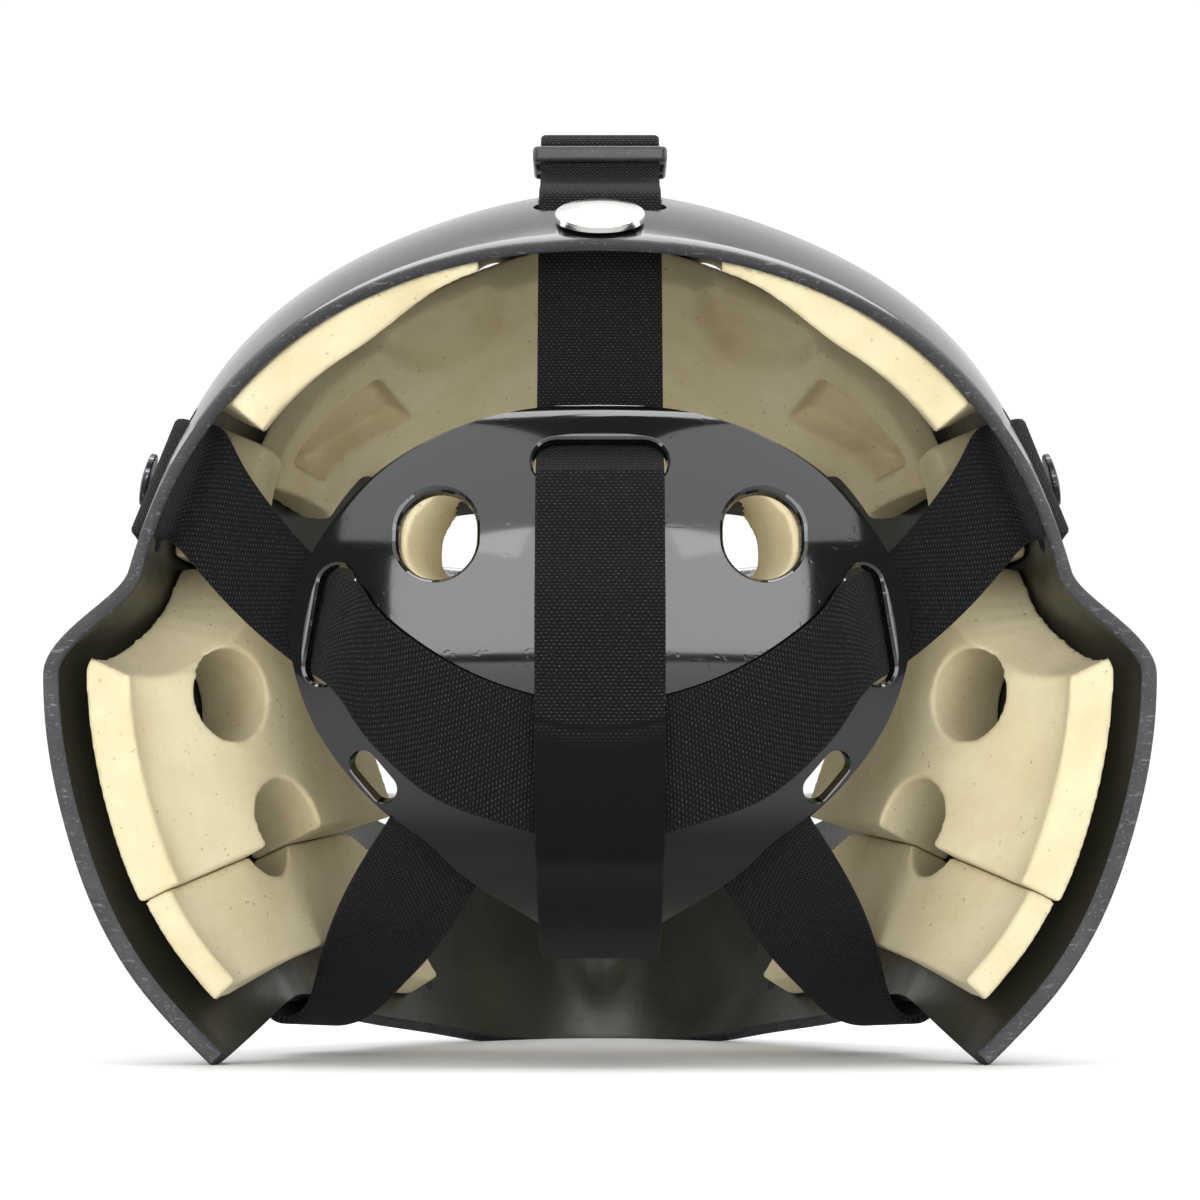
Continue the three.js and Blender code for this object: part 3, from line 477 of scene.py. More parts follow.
def calc(tree, operation, first, second=0.0):
    """A maths node's result."""
    return place_node(tree, "ShaderNodeMath", {0: first, 1: second}, operation=operation).outputs[0]


def levels(tree, value, low, high, at_low=0.0, at_high=1.0):
    """A value stretched so that low and high become two other levels, and kept between them."""
    given = {"Value": value, "From Min": low, "From Max": high, "To Min": at_low, "To Max": at_high}
    return place_node(tree, "ShaderNodeMapRange", given).outputs["Result"]


def ramp(tree, source, stops):
    """Colour ramp over a value; stops are (position, colour)."""
    made = place_node(tree, "ShaderNodeValToRGB", {"Fac": source})
    elements = made.color_ramp.elements
    while len(elements) < len(stops):
        elements.new(0.5)
    for element, (position, colour) in zip(elements, stops):
        element.position = position
        element.color = (*colour, 1)
    return made.outputs["Color"]


def coloured(tree, shader, source, *stops):
    """Colours a shader by a ramp over a value."""
    tree.links.new(ramp(tree, source, stops), shader.inputs["Base Color"])


def handled(tree, shader, scale, low, high):
    """Lets handling marks carry a shader's roughness between two levels."""
    marks = use_effect(tree, smudges, Scale=scale, Low=low, High=high)
    tree.links.new(marks["Roughness"], shader.inputs["Roughness"])


def embossed(tree, shader, height, strength, distance):
    """Bumps a shader's surface by a height."""
    bump = place_node(tree, "ShaderNodeBump", {"Height": height, "Strength": strength, "Distance": distance})
    tree.links.new(bump.outputs["Normal"], shader.inputs["Normal"])


# Fine scratches: stretched noise in two directions, of which only the thin crests stay.
scratches, given, result = effect("fine_scratches", {"Scale": 900.0, "Amount": 1.0}, ["Mask"])
place = object_place(scratches)
crossed = []
for turn, stretch in ((0.5, (1, 14, 1)), (-0.7, (16, 1, 1.5))):
    turned = place_node(scratches, "ShaderNodeMapping", {"Vector": place})
    turned.inputs["Rotation"].default_value = (turn, turn * 0.6, turn)
    turned.inputs["Scale"].default_value = tuple(1 / s for s in stretch)
    crossed.append(levels(scratches, noise(scratches, turned.outputs["Vector"], given["Scale"]), 0.62, 0.78))
either = calc(scratches, "MAXIMUM", *crossed)
scratches.links.new(calc(scratches, "MULTIPLY", either, given["Amount"]), result["Mask"])

# Handling marks: a slow cloud and a finer one, for roughness that is never quite even.
smudges, given, result = effect("handling_marks", {"Scale": 18.0, "Low": 0.1, "High": 0.3}, ["Roughness"])
cloud = noise(smudges, object_place(smudges), given["Scale"], 5.0, 0.65)
smudges.links.new(levels(smudges, cloud, 0.3, 0.7, given["Low"], given["High"]), result["Roughness"])

# Glossy black paint outside, with a faint orange peel and hairlines under the lacquer.
shell_paint, tree, shader = bench("shell_paint", (0.006, 0.006, 0.007), 0.16, coat_weight=0.25,
                                  coat_roughness=0.04)
handled(tree, shader, 22.0, 0.1, 0.24)
hairline = use_effect(tree, scratches, Scale=420.0, Amount=0.5)["Mask"]
peel = noise(tree, object_place(tree), 260.0)
embossed(tree, shader, calc(tree, "SUBTRACT", peel, hairline), 0.05, 0.0004)

# Bare resin inside: olive-black, with the cloth of the glass showing faintly through it.
shell_resin, tree, shader = bench("shell_resin", (0.05, 0.05, 0.035), 0.4, coat_weight=0.15,
                                  coat_roughness=0.2)
place = object_place(tree)
coloured(tree, shader, noise(tree, place, 28.0, 6.0),
         (0.3, (0.024, 0.024, 0.017)), (0.55, (0.034, 0.033, 0.023)), (0.75, (0.044, 0.043, 0.03)))
handled(tree, shader, 60.0, 0.28, 0.5)
strands = place_node(tree, "ShaderNodeTexVoronoi", {"Vector": place, "Scale": 420.0, "Randomness": 0.6})
embossed(tree, shader, strands.outputs["Distance"], 0.12, 0.0006)

# The trimmed edge is sanded to a matte dark grey.
shell_edge, tree, shader = bench("shell_edge", (0.03, 0.03, 0.033), 0.6)
sanded = use_effect(tree, scratches, Scale=1500.0, Amount=1.0)["Mask"]
coloured(tree, shader, sanded, (0.0, (0.022, 0.022, 0.025)), (1.0, (0.13, 0.13, 0.14)))
handled(tree, shader, 120.0, 0.45, 0.7)
embossed(tree, shader, sanded, 0.25, 0.0002)

SHELL_STEPS, SHELL_RINGS, LIP = 190, 56, 0.004
face_to_rear = np.linspace(LIP, 1 - LIP, SHELL_RINGS)
lip_in = np.array([0.3, 0, 0, 0.3]) * LIP
lip_depth = np.array([0.08, 0.28, 0.72, 0.92])
ring_place = np.concatenate([face_to_rear, 1 - lip_in, face_to_rear[::-1], lip_in])
ring_depth = np.concatenate([0 * face_to_rear, lip_depth, 0 * face_to_rear + 1, lip_depth[::-1]])
right_half = shell_grid(np.linspace(0, len(OPENING_X) - 1, SHELL_STEPS), ring_place, ring_depth)
right_half[[0, -1], :, 0] = 0
left_half = right_half[-2:0:-1] * [-1, 1, 1]
shell_points = np.concatenate([right_half, left_half])
shell_faces = loop_faces(len(shell_points), len(ring_place), True)
shell_finishes = [shell_paint, shell_resin, shell_edge]
shell = new_piece("shell_moulding", shell_points, shell_faces, shell_finishes, "shell")
band = np.zeros(len(ring_place), int)
band[SHELL_RINGS - 1:SHELL_RINGS + 4] = 2
band[SHELL_RINGS + 4:2 * SHELL_RINGS + 3] = 1
band[2 * SHELL_RINGS + 3:] = 2
shell.data.polygons.foreach_set("material_index", np.tile(band, len(shell_points)))
outward_mesh(shell.data)
hole_rings = []
for name, angle, y, length, width, lengthways in SHELL_HOLES:
    rings = shell_hole(angle, y, length, width, lengthways)
    hole_rings += [rings] if angle == 90 else both_sides(rings)
cut_through(shell, hole_rings, wall=2)
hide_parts("shell")

# Foam pads
# Cream closed-cell foam, cut from sheet with a knife, bored where it must give, and glued
# to the resin. The forehead pad turns down the brow, and the others line the crown and the jaws.
PAD_GAP = 0.75
CROWN_PAD = dict(top=72.5, bottom=33.0, rear=2.5, front=62, thin=4, thicker=10)
TEMPLE_PAD = dict(top=26.5, step=5, bottom=12.4, rear=46, front=111, thick=16)
CHEEK_PAD = dict(top=-1, step=12.5, bottom=-29.65, rear=3, front=128, thin=11, thicker=17, flare=0.68)
JAW_PAD = dict(top=-29.75, top_fall=9.45, bottom=-43, bottom_fall=14.5, rear=4, front=168, flare=0.62,
               thin=7, thicker=7, chin_loss=5)
FOREHEAD_PAD = dict(swing=62.5, brow=58, inset=5, gap=0.6, rear=112.0, thick=15, thinnest=2.5)
RECESS = dict(angle=44, half=8.5, t=0.7, reach=0.17, past=1.1, soft=0.16)
SLIT = dict(angle=34.2, half=1.6, t=0.72, reach=0.17, past=1.2, soft=0.4)
SCOOP = dict(angle=65.5, half=8, reach=0.24, past=1.25, soft=0.35)
RECESS_DEPTH, SLIT_DEPTH, SCOOP_DEPTH = 7.5, 8, 6.5
CHEEK_BORES = [dict(angle=-6.6, y=41.0, across=24.0), dict(angle=-27.5, y=50.0, across=23.0)]
HANDS = ((1, "right"), (-1, "left"))


def loft_faces(sections, count):
    """Quads of an open loft of loops, with the ends closed as strips, for a slab folded as a loop."""
    faces = loop_faces(sections, count, False)
    k = np.arange(count // 2 - 1)
    strip = np.stack([k, count - 1 - k, count - 2 - k, k + 1], -1)
    end = (sections - 1) * count
    return np.vstack([faces, strip, end + strip[:, ::-1]])


def foam_slab(outer, inner):
    """Closed slab from two sheets of points, one against the shell and one towards the head."""
    loops = np.concatenate([outer, inner[:, ::-1]], 1)
    return loops, loft_faces(len(loops), loops.shape[1])


def pad_sheets(pad, edges, thickness, steps=44, rows=44):
    """Outer and inner sheet of a pad between two edges round the shell and two stations along it."""
    t = np.linspace(0, 1, rows)[None, :]
    upper, lower = edges(t)
    angle = upper + (lower - upper) * np.linspace(0, 1, steps)[:, None]
    tilt = tilt_at(angle, pad["rear"] + (pad["front"] - pad["rear"]) * t)
    depth, share = shell_wall(angle) + PAD_GAP, pad.get("flare", 1.0)
    return under_skin(angle, tilt, depth, share), under_skin(angle, tilt, depth + thickness(angle, t), share)


def domed(t, edge):
    """1 in the middle, falling to edge at both ends."""
    return 1 - (1 - edge) * np.abs(2 * t - 1) ** 3


def crown_pad(pad=CROWN_PAD):
    """From beside the strap down to the temple, thicker towards the side."""
    def thickness(angle, t):
        return (pad["thin"] + pad["thicker"] * smooth((73 - angle) / 22)) * domed(t, 0.75)

    return pad_sheets(pad, lambda t: (pad["top"], pad["bottom"]), thickness)


def temple_pad(pad=TEMPLE_PAD):
    """A short pad in front of the side strap."""
    return pad_sheets(pad, lambda t: (pad["top"] + pad["step"] * smooth((t - 0.28) / 0.15), pad["bottom"]),
                      lambda angle, t: pad["thick"] * domed(t, 0.6))


def cheek_pad(pad=CHEEK_PAD):
    """The large pad over the cheek, bridging the jaw's flare."""
    def thickness(angle, t):
        return pad["thin"] + pad["thicker"] * smooth(t * 2.2) * (1 - 0.22 * smooth(t * 2 - 1))

    return pad_sheets(pad, lambda t: (pad["top"] + pad["step"] * smooth((t - 0.08) / 0.38), pad["bottom"]),
                      thickness)


def jaw_pad(pad=JAW_PAD):
    """The lower pad, running forward to the side of the chin."""
    def edges(t):
        return (pad["top"] - pad["top_fall"] * smooth(3 * t - 2),
                pad["bottom"] - pad["bottom_fall"] * smooth((t - 0.66) * 3))

    def thickness(angle, t):
        return pad["thin"] + pad["thicker"] * smooth(t * 4) - pad["chin_loss"] * smooth(2 * t - 1)

    return pad_sheets(pad, edges, thickness, steps=30, rows=90)


def window(at, share, angle, half, t, reach, past, soft):
    """1 inside a rectangle round and along a pad, falling to 0 over its soft edge."""
    return smooth((past - np.maximum(np.abs(at - angle) / half, np.abs(share - t) / reach)) / soft)


def bay(at, share, angle, half, reach, past, soft):
    """1 inside a half oval that opens at a pad's far end, falling to 0 over its soft edge."""
    return smooth((past - np.hypot((at - angle) / half, (share - 1) / reach)) / soft)


def forehead_pad(pad=FOREHEAD_PAD):
    """The pad that turns down the brow, between two tilts, mirrored across the middle.
    A recess and a slit are cut in it beside each temple, and a scoop under each crown vent."""
    angle = 90 - np.linspace(0, pad["swing"], 120)[:, None]
    brow = tilt_at_radius(angle, pad["brow"] / np.maximum(np.sin(np.radians(angle)), 0.62)) + pad["inset"]
    t = np.linspace(0, 1, 90)[None, :]
    tilt = brow + (tilt_at(angle, pad["rear"]) - brow) * t
    cuts = RECESS_DEPTH * window(angle, t, **RECESS) + SLIT_DEPTH * window(angle, t, **SLIT)
    scoop = SCOOP_DEPTH * bay(angle, t, **SCOOP) * domed(t, 0.6)
    thickness = pad["thick"] * domed(t, 0.6) - cuts - scoop
    depth = shell_wall(angle) + PAD_GAP + pad["gap"]
    outer = under_skin(angle, tilt, depth)
    inner = under_skin(angle, tilt, depth + np.maximum(thickness, pad["thinnest"]))
    return [np.concatenate([(sheet * [-1, 1, 1])[:0:-1], sheet]) for sheet in (outer, inner)]


def foam_piece(name, sheets, node, side=1, bores=(), voxel=1.2):
    """A pad: its slab, bored, then remeshed and smoothed so that each cut edge is a little round."""
    points, faces = foam_slab(*sheets)
    pad = new_piece(name, points * [side, 1, 1], faces, [pad_foam], "foam", shade=60)
    outward_mesh(pad.data)
    if len(bores):
        cut_through(pad, [rings * [side, 1, 1] for rings in bores])
    remesh = pad.modifiers.new("remesh", "REMESH")
    remesh.mode, remesh.voxel_size = "VOXEL", voxel * 0.001
    soften = pad.modifiers.new("soften", "SMOOTH")
    soften.factor, soften.iterations = 0.5, 4
    keep_modified(pad)
    pad.data.shade_smooth()
    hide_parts(node)


def cheek_bore(angle, y, across):
    """Rings of a round bore through the cheek, leaning forward to the ear."""
    flare = CHEEK_PAD["flare"]
    tilt = float(tilt_at(angle, y))
    mouth = under_skin(angle, tilt, 27.0, flare)
    axis = unit(skin_normal(angle, tilt, flare) + [0, 0.65, 0])
    first = unit(skin_point(angle + 1, tilt, flare) - skin_point(angle - 1, tilt, flare))
    first = unit(first - np.dot(first, axis) * axis)
    outline, _ = slot_outline(across + 0.02, across, 24)
    round_mouth = mouth + outline[:, :1] * first + outline[:, 1:] * np.cross(axis, first)
    return np.array([round_mouth + deep * axis for deep in (-22.0, 50.0)])


# Closed-cell foam: a soft mottle, pinholes where a bubble was cut open, and a fine tooth. The pinholes are
# dented and also painted darker, as shade in them.
cells, given, result = effect("foam_cells", {"Scale": 700.0, "Pits": 0.5}, ["Mottle", "Pits", "Height"])
place = object_place(cells)
bubble = place_node(cells, "ShaderNodeTexVoronoi",
                    {"Vector": place, "Scale": given["Scale"], "Randomness": 1.0})
open_cell = levels(cells, bubble.outputs["Distance"], 0.12, 0.3, 1.0, 0.0)
some = levels(cells, noise(cells, place, 420.0, 1.0), 0.58, 0.7)
pits = calc(cells, "MULTIPLY", calc(cells, "MULTIPLY", open_cell, some), given["Pits"])
tooth = noise(cells, place, 2200.0)
cells.links.new(noise(cells, place, 45.0, 6.0, 0.6), result["Mottle"])
cells.links.new(pits, result["Pits"])
cells.links.new(calc(cells, "SUBTRACT", tooth, pits), result["Height"])

pad_foam, tree, shader = bench("pad_foam", (0.75, 0.68, 0.47), 0.85, sheen_weight=0.05)
foam = use_effect(tree, cells, Scale=520.0, Pits=0.8)
tint = ramp(tree, foam["Mottle"], [
    (0.3, (0.60, 0.51, 0.30)), (0.55, (0.68, 0.60, 0.38)), (0.75, (0.73, 0.66, 0.45))])
# Painted shade: the pinholes are coloured a dark brown.
pit_shaded = place_node(tree, "ShaderNodeMix", {0: foam["Pits"], 6: tint, 7: (0.34, 0.27, 0.14, 1)},
                    data_type="RGBA")
tree.links.new(pit_shaded.outputs[2], shader.inputs["Base Color"])
embossed(tree, shader, foam["Height"], 0.35, 0.0003)

cheek_bores = [cheek_bore(**bore) for bore in CHEEK_BORES]
for side, hand in HANDS:
    foam_piece(f"crown_foam_{hand}", crown_pad(), f"crown_pad_{hand}", side, voxel=1.0)
    foam_piece(f"temple_foam_{hand}", temple_pad(), f"temple_pad_{hand}", side)
    foam_piece(f"cheek_foam_{hand}", cheek_pad(), f"cheek_pad_{hand}", side, cheek_bores, 0.9)
    foam_piece(f"jaw_foam_{hand}", jaw_pad(), f"jaw_pad_{hand}", side, cheek_bores[1:], 0.9)
foam_piece("forehead_foam", forehead_pad(), "forehead_pad", voxel=1.1)

# Back plate
# A dome of black polycarbonate that closes the back of the head. It is moulded glossy, with two
# round holes, two slanted ones, a slot at the top and one at each side for the elastic.
PLATE_WALL, PLATE_BULGE = 3, 0.0042
PLATE_Z = np.array([162.7, 159.5, 150, 137, 121, 104, 84, 68, 60.5, 55, 50, 43.5, 37, 32.5])
PLATE_Y = np.array([1, -2, -7.5, -13.5, -18, -19.5, -17, -11.5, -7, -1, 8, 21, 38, 58], float)
PLATE_HALF = np.array([9, 30, 51, 65, 75, 77.4, 71, 59, 50, 42, 37, 28, 17, 12], float)


def plate_point(row, x):
    """Middle surface of the plate: a curved line down the back, bowed forward to its sides."""
    row, x = np.broadcast_arrays(np.asarray(row, float), np.asarray(x, float))
    knots = np.arange(len(PLATE_Z))
    return np.stack([x, natural_curve(knots, PLATE_Y, row) + PLATE_BULGE * x * x,
                     natural_curve(knots, PLATE_Z, row)], -1)


def plate_row(z):
    """Row number at which the plate's line passes a height, by halving."""
    z = np.asarray(z, float)
    low, high = np.zeros(z.shape), np.full(z.shape, len(PLATE_Z) - 1.0)
    for _ in range(30):
        middle = (low + high) / 2
        above = natural_curve(np.arange(len(PLATE_Z)), PLATE_Z, middle) > z
        low, high = np.where(above, middle, low), np.where(above, high, middle)
    return low


def plate_normal(row, x):
    """Outward normal, behind or under the head."""
    down = plate_point(row + 0.05, x) - plate_point(row - 0.05, x)
    across = plate_point(row, x + 1) - plate_point(row, x - 1)
    return unit(np.cross(down, across))


def off_plate(row, x, height):
    """Point off the plate's middle surface; a positive height is outside."""
    return plate_point(row, x) + np.asarray(height, float)[..., None] * plate_normal(row, x)


def plate_hole(x, z, length, width, along, profile):
    """Rings of a cutter that follows the plate, its rim opened out by a profile of outset and height."""
    outline, outward = slot_outline(length, width, 20)
    first = np.array(along)
    second = np.array([-first[1], first[0]])
    rings = []
    for outset, height in profile:
        flat = outline + outward * outset
        at = [x, z] + flat[:, :1] * first + flat[:, 1:] * second
        rings.append(off_plate(plate_row(at[:, 1]), at[:, 0], np.full(len(at), float(height))))
    return np.array(rings)


PLATE_STEPS, PLATE_COLUMNS = 150, 130
EDGE_FROM = 0.985       # share of the half width past which the edge is rounded
RIM_PROFILE = [(4.5, 7.0), (1.5, 1.95), (1.0, 1.4), (0.4, 0.95), (0.0, 0.2), (0.0, -6.0)]
THIN_PROFILE = [(0.9, 4.0), (0.3, 1.7), (0.0, 1.2), (0.0, -6.0)]
SLOT_PROFILE = [(2.6, 4.0), (0.9, 1.75), (0.5, 1.45), (0.0, 0.9), (0.0, -5.0)]
LOOKOUT = dict(x=40, z=130, length=22.4, width=19.7, along=(0, 1))
LOWER_HOLE = dict(x=55.6, z=71.4, length=14.5, width=6.6, along=(0.65, 0.76))
PLATE_SLOT = dict(x=66.5, z=108.6, length=30, width=9.6, along=(-0.166, 0.986))
TOP_SLOT = dict(x=0, z=148, length=33.4, width=12, along=(1, 0))

# Black polycarbonate, almost a mirror, with faint moulding waves, hairlines and finger marks.
plate_black, tree, shader = bench("plate_black", (0.003, 0.003, 0.0035), 0.08, specular_ior_level=0.95,
                                  coat_weight=0.3, coat_roughness=0.03)
handled(tree, shader, 26.0, 0.045, 0.11)
hairline = use_effect(tree, scratches, Scale=520.0, Amount=0.6)["Mask"]
wave = noise(tree, object_place(tree), 42.0, 1.0)
embossed(tree, shader, calc(tree, "SUBTRACT", wave, hairline), 0.05, 0.0004)

rows = np.linspace(0, len(PLATE_Z) - 1, PLATE_STEPS)[:, None]
half = natural_curve(np.arange(len(PLATE_Z)), PLATE_HALF, rows)
even = np.linspace(-1, 1, PLATE_COLUMNS)[None, :]
across = 0.35 * np.sin(even * math.pi / 2) + 0.65 * even
past_edge = np.clip((np.abs(across) - EDGE_FROM) / (1 - EDGE_FROM), 0, 1)
edge_round = np.sqrt(np.clip(1 - past_edge ** 2, 0.02, 1)) * np.ones_like(rows)
plate_sheets = [off_plate(rows, half * across, face * PLATE_WALL / 2 * edge_round) for face in (1, -1)]
plate = new_piece("back_plate_dome", *foam_slab(*plate_sheets), [plate_black], "plate")
outward_mesh(plate.data)
plate_rings = [plate_hole(**TOP_SLOT, profile=SLOT_PROFILE)]
for hole, profile in ((LOOKOUT, RIM_PROFILE), (LOWER_HOLE, THIN_PROFILE), (PLATE_SLOT, SLOT_PROFILE)):
    plate_rings += both_sides(plate_hole(**hole, profile=profile))
cut_through(plate, plate_rings)
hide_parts("back_plate")

# Plate lining
# A block of cream foam glued inside the plate, cut to stop short of the elastic's slots.
# It is bored where the round holes are, and the bores lean in towards the head.
LINING = dict(top=139.0, shoulder=8.5, strap_side=17, bottom=74.0, inset=15.5, wall=20, gap=0.5, lean=0.45)
down = np.linspace(0, 1, 60)[:, None]
top, bottom = plate_row(LINING["top"]), plate_row(LINING["bottom"])
half = natural_curve(np.arange(len(PLATE_Z)), PLATE_HALF, top + (bottom - top) * down) - LINING["inset"]
across = half * np.linspace(-1, 1, 110)[None, :]
rise = LINING["shoulder"] * smooth((np.abs(across) - LINING["strap_side"]) / 8)
shoulder = plate_row(LINING["top"] + rise)
rows = shoulder + (bottom - shoulder) * down
near = -PLATE_WALL / 2 - LINING["gap"]
lining_sheets = [off_plate(rows, across, np.full(rows.shape, near - wall)) for wall in (0, LINING["wall"])]
outline, _ = slot_outline(LOOKOUT["length"], LOOKOUT["width"] + 1, 20)
mouth = plate_point(plate_row(LOOKOUT["z"]), LOOKOUT["x"])
level_bore = np.stack([outline[:, 1], 0 * outline[:, 0], outline[:, 0]], -1)
bore = np.array([mouth + level_bore + np.array([-LINING["lean"], 1, 0]) * deep for deep in (-12.0, 45.0)])
foam_piece("plate_lining", lining_sheets, "back_plate_pad", voxel=1.0, bores=both_sides(bore))

# Elastic straps
# Knitted elastic, an inch and a quarter wide, dark and matt with rows of small loops. One runs
# down the middle, one to each side of the shell, and one to each side of the jaw.
STRAP_WIDTH, STRAP_WALL, GAP = 31.75, 2, 0.3
ON_PLATE = PLATE_WALL / 2 + GAP + STRAP_WALL / 2
ON_SHELL = GAP + STRAP_WALL / 2 + 0.4
OVER_SIDE_STRAP = 3
STRAP_EDGE = 0.07       # share of the half width over which the edge is rounded
DRAPE_FROM, DRAPE_OVER = 10.4, 1.6      # stops over which the side strap comes to lie on the plate
DRAPED = ON_PLATE + 0.45


def skin_stop(angle, y, depth):
    """Point under or over the shell's skin at an angle and a station."""
    return under_skin(angle, tilt_at(angle, y), depth)


def centre_stops():
    """The middle strap: slider fold on the crown, the crown slot, the plate's slot, down the plate."""
    crown = [skin_stop(90, y, -h) for y, h in [(102, ON_SHELL), (90, ON_SHELL), (80, ON_SHELL + 0.2)]]
    fold = [(73.4, 236.4), (72, 240.5), (69, 244.5), (65, 245.8), (60.4, 242.8), (58.6, 237.8)]
    rim = [skin_stop(90, y, -h) for y, h in [
        (53, ON_SHELL + 0.6), (44, ON_SHELL), (36, ON_SHELL), (31.5, 0.6), (27.5, -3.2)]]
    inside = [(23.6, 209.5), (19, 198), (13.4, 182), (8, 167), (2.5, 156.5), (-5, 149.5), (-12, 145)]
    rows = np.array([2.55, 3, 3.5, 4, 4.5, 5, 5.5, 6, 6.5, 7, 7.5, 8, 8.5, 9, 10, 11, 12, 13])
    crossing = smooth((rows - 3.6) / 1.2) * (1 - smooth((rows - 8.6) / 2.4))
    plate = off_plate(rows, 0 * rows, ON_PLATE + 0.3 + OVER_SIDE_STRAP * crossing)
    inner_end = (0, 76, 26.6)
    at = np.array([*crown, *[(0, *p) for p in fold], *rim, *[(0, *p) for p in inside], *plate, inner_end])
    return at, np.tile([1.0, 0, 0], (len(at), 1))


def side_stops():
    """The side strap: through the shell, inside the plate's edge, out of its slot, round to the middle.
    Each stop has the strap's half direction across, shorter where the strap is gathered."""
    turn = math.radians(SIDE_STRAP_ANGLE)
    round_shell = (-math.sin(turn), 0, math.cos(turn))
    gathered = 0.86
    in_slot = (gathered * PLATE_SLOT["along"][0], 0, gathered * PLATE_SLOT["along"][1])
    outside = [(54, -ON_SHELL - 0.9), (42, -ON_SHELL - 0.6), (32, -ON_SHELL - 0.4)]
    stops = [(skin_stop(SIDE_STRAP_ANGLE, y, depth), round_shell)
             for y, depth in outside + [(25.5, 0.5), (19, 5), (11, 10)]]
    stops += [
        ((93.5, 10, 134), (-0.25, 0, 0.95)), ((84, 13.2, 122.8), (-0.18, 0, 0.92)),
        ((76.5, 12.6, 115.4), (-0.15, 0, 0.87)), ((71, 7.6, 111), in_slot),
        ((65.3, -1.9, 107.3), in_slot), ((59.8, -7.9, 102), (-0.1, 0, 0.95)),
    ]
    for x, z, height, wide in [
            (51.5, 94.4, 0.5, (-0.06, 0, 0.98)), (39.3, 84.6, 0.3, (-0.1, 0, 1)),
            (27, 79, 0.3, (-0.1, 0, 0.97)), (16, 75.8, 0.3, (-0.05, 0, 0.97)),
            (10, 74.6, 0.3, (-0.05, 0, 0.97))]:
        stops.append((off_plate(plate_row(z), x, ON_PLATE + height), wide))
    return np.array([s[0] for s in stops], float), np.array([s[1] for s in stops], float)


def lower_stops():
    """The lower strap: from inside the plate's edge forward to the jaw, hooked round its bottom edge."""
    stops = [
        ((34, 0.6, 72), (0.97, 0.22, -0.1)), ((36.5, 5, 63.5), (0.97, 0.2, -0.05)),
        ((40.5, 15, 56), (0.94, 0.1, 0.1)), ((48, 31, 44.5), (0.9, -0.1, 0.22)),
        ((56, 49, 32.5), (0.8, -0.38, 0.28)), ((63.3, 67, 21.8), (0.64, -0.7, 0.2)),
        ((69, 82.5, 13.4), (0.5, -0.84, 0.1)), ((76.2, 91.5, 8.8), (0.38, -0.92, 0.05)),
        ((84.2, 92, 11.4), (0.3, -0.95, 0.02)),
    ]
    for angle, y in ((-43.5, 91), (-38.5, 89.5), (-32.5, 88)):
        stops.append((skin_stop(angle, y, -ON_SHELL - 1.5), (0.28, -0.96, 0)))
    return np.array([s[0] for s in stops], float), np.array([s[1] for s in stops], float)


def strap_body(stops, steps, drape=None):
    """Flat band carried along its stops, its edges rounded; drape lays it on the plate by stop number.
    Gives the points as loops, the width and length coordinate of each, and the length run."""
    at, wide = stops
    knots = np.arange(len(at))
    t = np.linspace(0, len(at) - 1, steps)

    def along(values, when):
        return np.stack([natural_curve(knots, values[:, k], when) for k in range(3)], -1)

    centre, reach = along(at, t), along(wide, t) * STRAP_WIDTH / 2
    run = unit(along(at, np.minimum(t + 0.05, t[-1])) - along(at, np.maximum(t - 0.05, 0)))
    up = unit(np.cross(run, reach))
    u = np.concatenate([[-1, -0.985], np.linspace(-0.94, 0.94, 22), [0.985, 1]])
    full = np.sqrt(np.clip(1 - np.clip((np.abs(u) - 1 + STRAP_EDGE) / STRAP_EDGE, 0, 1) ** 2, 0.03, 1))
    points = centre[:, None] + u[None, :, None] * reach[:, None]
    normal = np.broadcast_to(-up[:, None], points.shape)
    if drape is not None:
        share = smooth(drape(t))[:, None, None]
        row = plate_row(points[..., 2])
        normal = unit(-up[:, None] * (1 - share) + plate_normal(row, points[..., 0]) * share)
        lying = off_plate(row, points[..., 0], np.full(row.shape, DRAPED))
        points = points * (1 - share) + lying * share
    lift = (STRAP_WALL / 2 * full)[None, :, None] * normal
    loops = np.concatenate([points + lift, (points - lift)[:, ::-1]], 1)
    length = np.concatenate([[0], np.cumsum(np.linalg.norm(np.diff(centre, axis=0), axis=1))])
    width = np.concatenate([u, u[::-1]]) * STRAP_WIDTH / 2
    return loops, width, length


def strap_piece(name, node, stops, steps, cloth, side=1, drape=None):
    """A strap with its own map: millimetres across the band and along it."""
    loops, width, length = strap_body(stops, steps, drape)
    faces = loft_faces(len(loops), loops.shape[1])
    strap = new_piece(name, loops * [side, 1, 1], faces, [cloth], "strap", shade=50)
    corner = np.zeros(len(strap.data.loops), int)
    strap.data.loops.foreach_get("vertex_index", corner)
    across = width[corner % loops.shape[1]]
    along = length[corner // loops.shape[1]]
    layer = strap.data.uv_layers.new(name="knit")
    layer.data.foreach_set("uv", np.stack([across, along], -1).ravel())
    outward_mesh(strap.data)
    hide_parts(node)
    print(f"{name}: {length[-1]:.0f} mm long")
